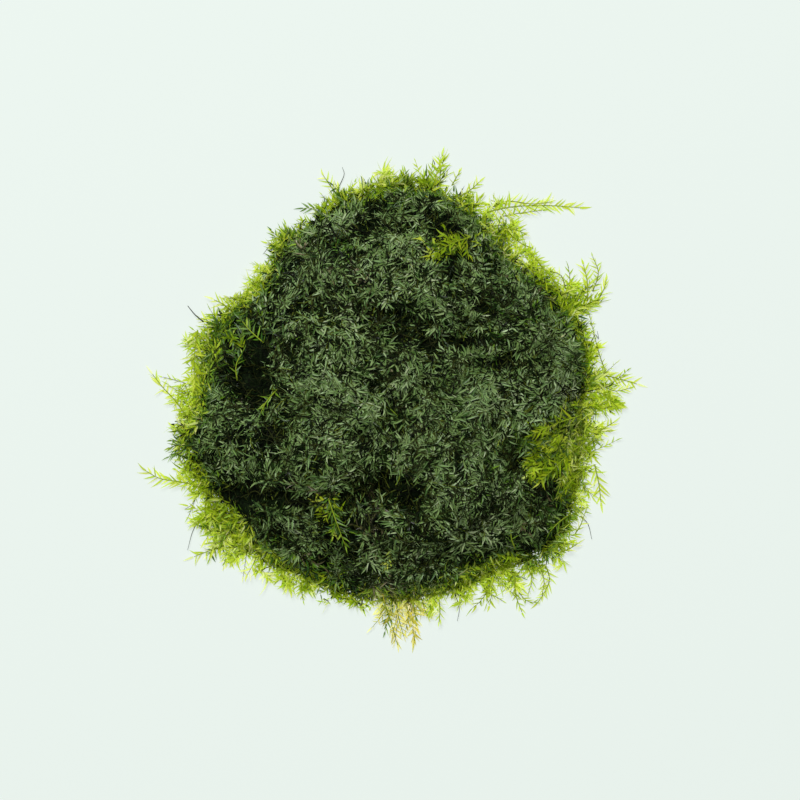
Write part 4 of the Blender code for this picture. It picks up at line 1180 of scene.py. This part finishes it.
def grow_strands(name, seed):
    """Loose leafy strands and bare threads that leave the rim by themselves."""
    rng = np.random.default_rng(seed)
    growth = Growth()
    for strand, (leaf, *points) in LOOSE_STRANDS.items():
        flat, length = smooth_line(points, STATIONS * 2)
        rise = 0.5 + 0.9 * np.sin(np.linspace(0.3, 2.8, len(flat)))
        line = np.array([on_ground(flat + np.array(CLUMP_CENTRE), rise)])
        ups = tilted(line, np.broadcast_to(UPWARDS, line.shape), rng.normal(0, 15, 1))
        tone = np.array([rng.uniform(0.25, 0.6)])
        family = np.array([YELLOW if strand.startswith("yellow") else FRESH])
        grow_leaves(
            growth, fine_leaf, line, ups, np.array([length]), STRAND_SPACING, np.array([leaf]),
            family, tone, rng, FRESH_STYLE,
        )
        stems_along(growth, line, ups, STRAND_STEM_RADIUS, 4, np.array([0.6]))
    for points in LOOSE_THREADS.values():
        flat, _ = smooth_line(points, STATIONS * 2)
        line = np.array([on_ground(flat + np.array(CLUMP_CENTRE), 0.4 + 0.5 * np.linspace(0, 1, len(flat)))])
        ups = np.broadcast_to(UPWARDS, line.shape)
        stems_along(growth, line, ups, THREAD_RADIUS, 4, np.array([rng.uniform(0.05, 0.4)]))
    return growth.make(name, leaf_finishes)


def grow_top_tuft(growth, rng, x, y, half_long, half_wide, turn, heading, count, tone, fresh_share):
    """Fresh shoots that lie together on the mat, all roughly one way."""
    c, s = math.cos(math.radians(turn)), math.sin(math.radians(turn))
    routes, ups, lengths = [], [], []
    for _ in range(count):
        a, b = rng.normal(0, 0.5, 2) * (half_long, half_wide)
        place = (x + a * c - b * s + CLUMP_CENTRE[0], y + a * s + b * c + CLUMP_CENTRE[1])
        under = mat.below(*place)
        spot, up = mat.nearest(Vector((*place, under[0] if under else 1.0)))
        way = math.radians(heading + rng.normal(0, 32))
        ahead = Vector((math.cos(way), math.sin(way), 0))
        length = rng.uniform(*TUFT_LENGTH)
        bend = rng.normal(0, BEND)
        lift = rng.uniform(*TUFT_LIFT)
        spot = spot - ahead * length / 2
        line, normals = [], []
        for k in range(STATIONS):
            spot, up = mat.nearest(spot)
            line.append(spot + up * (lift + 0.4 * k / (STATIONS - 1) - SINK * spot.z))
            normals.append(up)
            ahead = (ahead - up * ahead.dot(up)).normalized()
            spot = spot + ahead * length / (STATIONS - 1)
            ahead = ahead + up.cross(ahead) * bend
        routes.append(line)
        ups.append(normals)
        lengths.append(length)
    routes, ups, lengths = np.array(routes), np.array(ups), np.array(lengths)
    ups = tilted(routes, ups, np.clip(rng.normal(0, 16, count), -25, 25))
    family = np.where(rng.uniform(size=count) < fresh_share, FRESH, GREEN)
    tones = np.clip(tone + rng.normal(0, 0.14, count) + np.where(family == GREEN, 0.3, 0.0), 0, 1)
    leaf = rng.uniform(*TUFT_LEAF, count)
    grow_leaves(growth, fine_leaf, routes, ups, lengths, TUFT_SPACING, leaf, family, tones, rng, TUFT_STYLE)
    stems_along(growth, routes, ups, TUFT_STEM_RADIUS, 3, np.full(count, 0.5))


def grow_top_tufts(name, seed):
    """All the fresh tufts that lie on top, as one piece."""
    rng = np.random.default_rng(seed)
    growth = Growth()
    for tuft in TOP_TUFTS.values():
        grow_top_tuft(growth, rng, *tuft)
    return growth.make(name, leaf_finishes)


def grow_single(node, leaf, points, seed):
    """One shoot that is seen by itself, where its solid lies: fine leaves on a tapering stem."""
    rng = np.random.default_rng(seed)
    solid = Lie(node)
    flat, length = smooth_line(points, SINGLE_STATIONS)
    flat = flat + np.array(CLUMP_CENTRE)
    line, ups = [], []
    for x, y in flat:
        under = solid.below(x, y)
        if under is None:
            hit, up = solid.nearest(Vector((x, y, line[-1][2] if line else 1.0)))
            under = hit.z, up if up.z > 0 else Vector(UPWARDS)
        line.append((x, y, under[0] - SINGLE_DEPTH))
        ups.append(under[1])
    line, ups = np.array([line]), np.array([[tuple(up) for up in ups]])
    growth = Growth()
    dark = node.startswith("stem_")
    family = SINGLE_FAMILIES.get(node, FRESH)
    on_top = line[0, :, 2].max() > 6
    tone = np.array([0.6 if family == GREEN else 0.15 if on_top else rng.uniform(0.3, 0.6)])
    if leaf:
        grow_leaves(
            growth, fine_leaf, line, ups, np.array([length]), SINGLE_SPACING, np.array([leaf]),
            np.array([family]), tone, rng, FRESH_STYLE,
        )
    stems_along(growth, line, ups, SINGLE_STEM_RADIUS, 5, np.array([0.1 if dark else 0.7]))
    return growth.make(node.replace("shoot_", "leafy_shoot_").replace("stem_", "wiry_stem_"), leaf_finishes)


def grow_heart():
    """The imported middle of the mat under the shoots: half a ball drawn out to the mat's form."""
    bpy.ops.object.select_all(action="DESELECT")
    bpy.ops.mesh.primitive_ico_sphere_add(subdivisions=6, radius=1)
    heart = bpy.context.object
    heart.name = "mat_packed_heart"
    bpy.ops.object.mode_set(mode="EDIT")
    bpy.ops.mesh.select_all(action="SELECT")
    bpy.ops.mesh.bisect(
        plane_co=(0, 0, 0), plane_no=(0, 0, 1), use_fill=True, clear_inner=True, threshold=0.001)
    bpy.ops.object.mode_set(mode="OBJECT")
    for vert in heart.data.vertices:
        x, y, z = vert.co
        share = math.atan2(math.hypot(x, y), max(z, 0)) / (math.pi / 2)
        angle = math.atan2(y, x)
        radius = HEART_SHARE * share * min(around(MAT_EDGE, angle), around(DARK_EDGE, angle))
        px = CLUMP_CENTRE[0] + radius * math.cos(angle)
        py = CLUMP_CENTRE[1] + radius * math.sin(angle)
        under = mat.below(px, py)
        top = under[0] * (1 - SINK) - HEART_DEPTH if under else 0.3
        rough = noise.noise(Vector((px, py, 0.0)) / HEART_LUMP_SIZE) * HEART_LUMP_HEIGHT
        height = HEART_UNDERSIDE if share > 0.997 else max(HEART_LOWEST_TOP, top + rough)
        vert.co = Vector((px, py, height)) * MM
    for polygon in heart.data.polygons:
        polygon.use_smooth = True
    heart.data.materials.append(heart_material())
    return heart


# The clump

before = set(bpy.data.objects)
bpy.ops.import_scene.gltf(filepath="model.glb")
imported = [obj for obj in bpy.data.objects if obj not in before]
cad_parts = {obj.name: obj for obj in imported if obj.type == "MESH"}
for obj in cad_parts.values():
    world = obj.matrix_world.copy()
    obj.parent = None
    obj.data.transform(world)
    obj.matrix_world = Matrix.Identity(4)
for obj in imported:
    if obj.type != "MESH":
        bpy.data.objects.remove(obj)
cad_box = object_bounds()
clump_top = cad_box[1].z / MM
mat = Lie("mat")

leaf_finishes = [
    # Grown dark leaves, grey green where their wet faces shine and, in their lightest tones, as a painted
    # sheen, with margins painted dark as the shade that parts them from each other
    leaf_material(
        "wet fissidens leaf",
        ((0.0, "#040f01"), (0.2, "#284011"), (0.45, "#567138"), (0.8, "#6e8553"), (1.0, "#8e9f77")),
        through=0.12, roughness=0.45, shine=0.06, rib_shade=0.9, edge_shade=0.2, gloss=0.22),
    # Leaves half way to dark: a clear mid green with a soft gleam
    leaf_material(
        "green fissidens leaf",
        ((0.0, "#12290a"), (0.35, "#2c5008"), (0.7, "#587f10"), (1.0, "#90b034")),
        through=0.35, roughness=0.45, shine=0.1, rib_shade=0.85, edge_shade=0.45, gloss=0.35),
    # Young leaves: bright yellow green, and lit through by the table under them
    leaf_material(
        "fresh fissidens leaf",
        ((0.0, "#8aa808"), (0.35, "#b4cf1e"), (0.7, "#d8ea4c"), (1.0, "#f4f8b4")),
        through=0.7, roughness=0.45, shine=0.1, rib_shade=0.85, edge_shade=0.9, gloss=0.3),
    # Spent leaves: olive brown, thin and a little dull
    leaf_material(
        "old fissidens leaf", ((0.0, "#171506"), (0.5, "#38351a"), (1.0, "#6f6a4a")),
        through=0.2, roughness=0.45, shine=0.1, rib_shade=0.9, edge_shade=0.4, gloss=0.3),
    # Stems: near black when bare and old, which also paints the shade of the gaps between leaves, yellow
    # green when young, with hardly any gleam
    leaf_material(
        "wiry fissidens stem",
        ((0.0, "#030502"), (0.3, "#2c3210"), (0.7, "#6f8420"), (1.0, "#a8b83a")),
        through=0.1, roughness=0.75, shine=0.0, rib_shade=1.0, edge_shade=1.0, gloss=0.06),
    # Painted shade: leaves coloured matt and almost black for where no light reaches, so that they deepen the
    # hollows
    leaf_material(
        "painted-shade fissidens leaf", ((0.0, "#010400"), (0.5, "#061002"), (1.0, "#142407")),
        through=0.05, roughness=0.8, shine=0.0, rib_shade=1.0, edge_shade=0.6, gloss=0.05),
    # Faded young leaves: straw yellow to cream, as thin as the fresh ones
    leaf_material(
        "yellowed fissidens leaf",
        ((0.0, "#b0a020"), (0.35, "#d8d048"), (0.7, "#ecea84"), (1.0, "#fbf8d4")),
        through=0.6, roughness=0.45, shine=0.1, rib_shade=0.85, edge_shade=0.9, gloss=0.3),
]
simple_leaf = model_leaf("simple_leaf", (0, 1.0, 0), fold=0.12, droop=0.2)
curved_leaf = model_leaf("curved_leaf", (0, 0.95, 0.8, 0), fold=0.12, droop=0.3)
fine_leaf = model_leaf("fine_leaf", (0.7, 1.0, 0.8, 0.45, 0), fold=0.14, droop=0.5)

heart = grow_heart()
# Name, leaf, shoots, lift of the roots, rise of the tips over them, tone shift that paints the deeper layers
# darker as shade and the higher ones lighter, seed, share painted near black as shade, share thinned
layers = [
    grow_dense("mat_shoots_under", simple_leaf, 1500, (-1.6, -0.9), (0.3, 0.7), -0.1, 11, 0.95, 0.0),
    grow_dense("mat_shoots_middle", simple_leaf, 1700, (-1.0, -0.4), (0.4, 0.8), -0.08, 12, 0.65, 0.7),
    grow_dense("mat_shoots_over", curved_leaf, 1330, (-0.5, 0.0), (0.4, 0.8), 0.0, 13, 0.4, 1.0),
    grow_dense("mat_shoots_upper", curved_leaf, 1330, (-0.4, 0.1), (0.4, 0.8), 0.03, 14, 0.25, 1.0),
    grow_dense("mat_shoots_top", curved_leaf, 1280, (-0.2, 0.2), (0.4, 0.9), 0.06, 15, 0.08, 1.0),
    grow_underside("mat_shoots_pressed", seed=16),
]
wiry = grow_bare_stems("mat_bare_stems", seed=24)
fresh = [
    grow_rim("rim_fresh_shoots", seed=21),
    grow_strands("rim_loose_strands", seed=22),
    grow_top_tufts("mat_fresh_tufts", seed=23),
]
for piece in [heart, *layers, wiry, *fresh]:
    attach(piece, "root")
    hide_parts("mat")
for seed, (node, (leaf, *points)) in enumerate(SINGLE_SHOOTS.items(), 100):
    piece = grow_single(node, leaf, points, seed)
    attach(piece, "root")
    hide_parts(node)

# The stage: an evenly lit pale table, soft light from above, and the camera straight over it

bpy.ops.object.select_all(action="DESELECT")
bpy.ops.mesh.primitive_grid_add(x_subdivisions=4, y_subdivisions=4, size=TABLE_SIZE * MM)
table = bpy.context.object
table.name = "pale_table"
table.data.materials.append(table_material())

world = bpy.data.worlds.new("soft studio")
world.use_nodes = True
world.node_tree.nodes["Background"].inputs["Color"].default_value = linear("#f3f3ea")
world.node_tree.nodes["Background"].inputs["Strength"].default_value = ROOM_LIGHT
bpy.context.scene.world = world

lamp = bpy.data.lights.new("soft_box", "AREA")
lamp.shape = "SQUARE"
lamp.size = LAMP_SIZE * MM
lamp.energy = LAMP_WATTS
soft_box = bpy.data.objects.new("soft_box", lamp)
soft_box.location = Vector(LAMP_PLACE) * MM
soft_box.rotation_euler = Vector(LAMP_PLACE).to_track_quat("Z", "Y").to_euler()
bpy.context.scene.collection.objects.link(soft_box)

camera = bpy.data.cameras.new("overhead")
camera.sensor_width = SENSOR_WIDTH
camera.lens = SENSOR_WIDTH * CAMERA_HEIGHT / VIEW_WIDTH
camera.clip_end = VIEW_DEPTH * MM
overhead = bpy.data.objects.new("overhead", camera)
overhead.location = Vector((*VIEW_CENTRE, CAMERA_HEIGHT)) * MM
bpy.context.scene.collection.objects.link(overhead)
bpy.context.scene.camera = overhead
bpy.context.scene.view_settings.view_transform = "Standard"
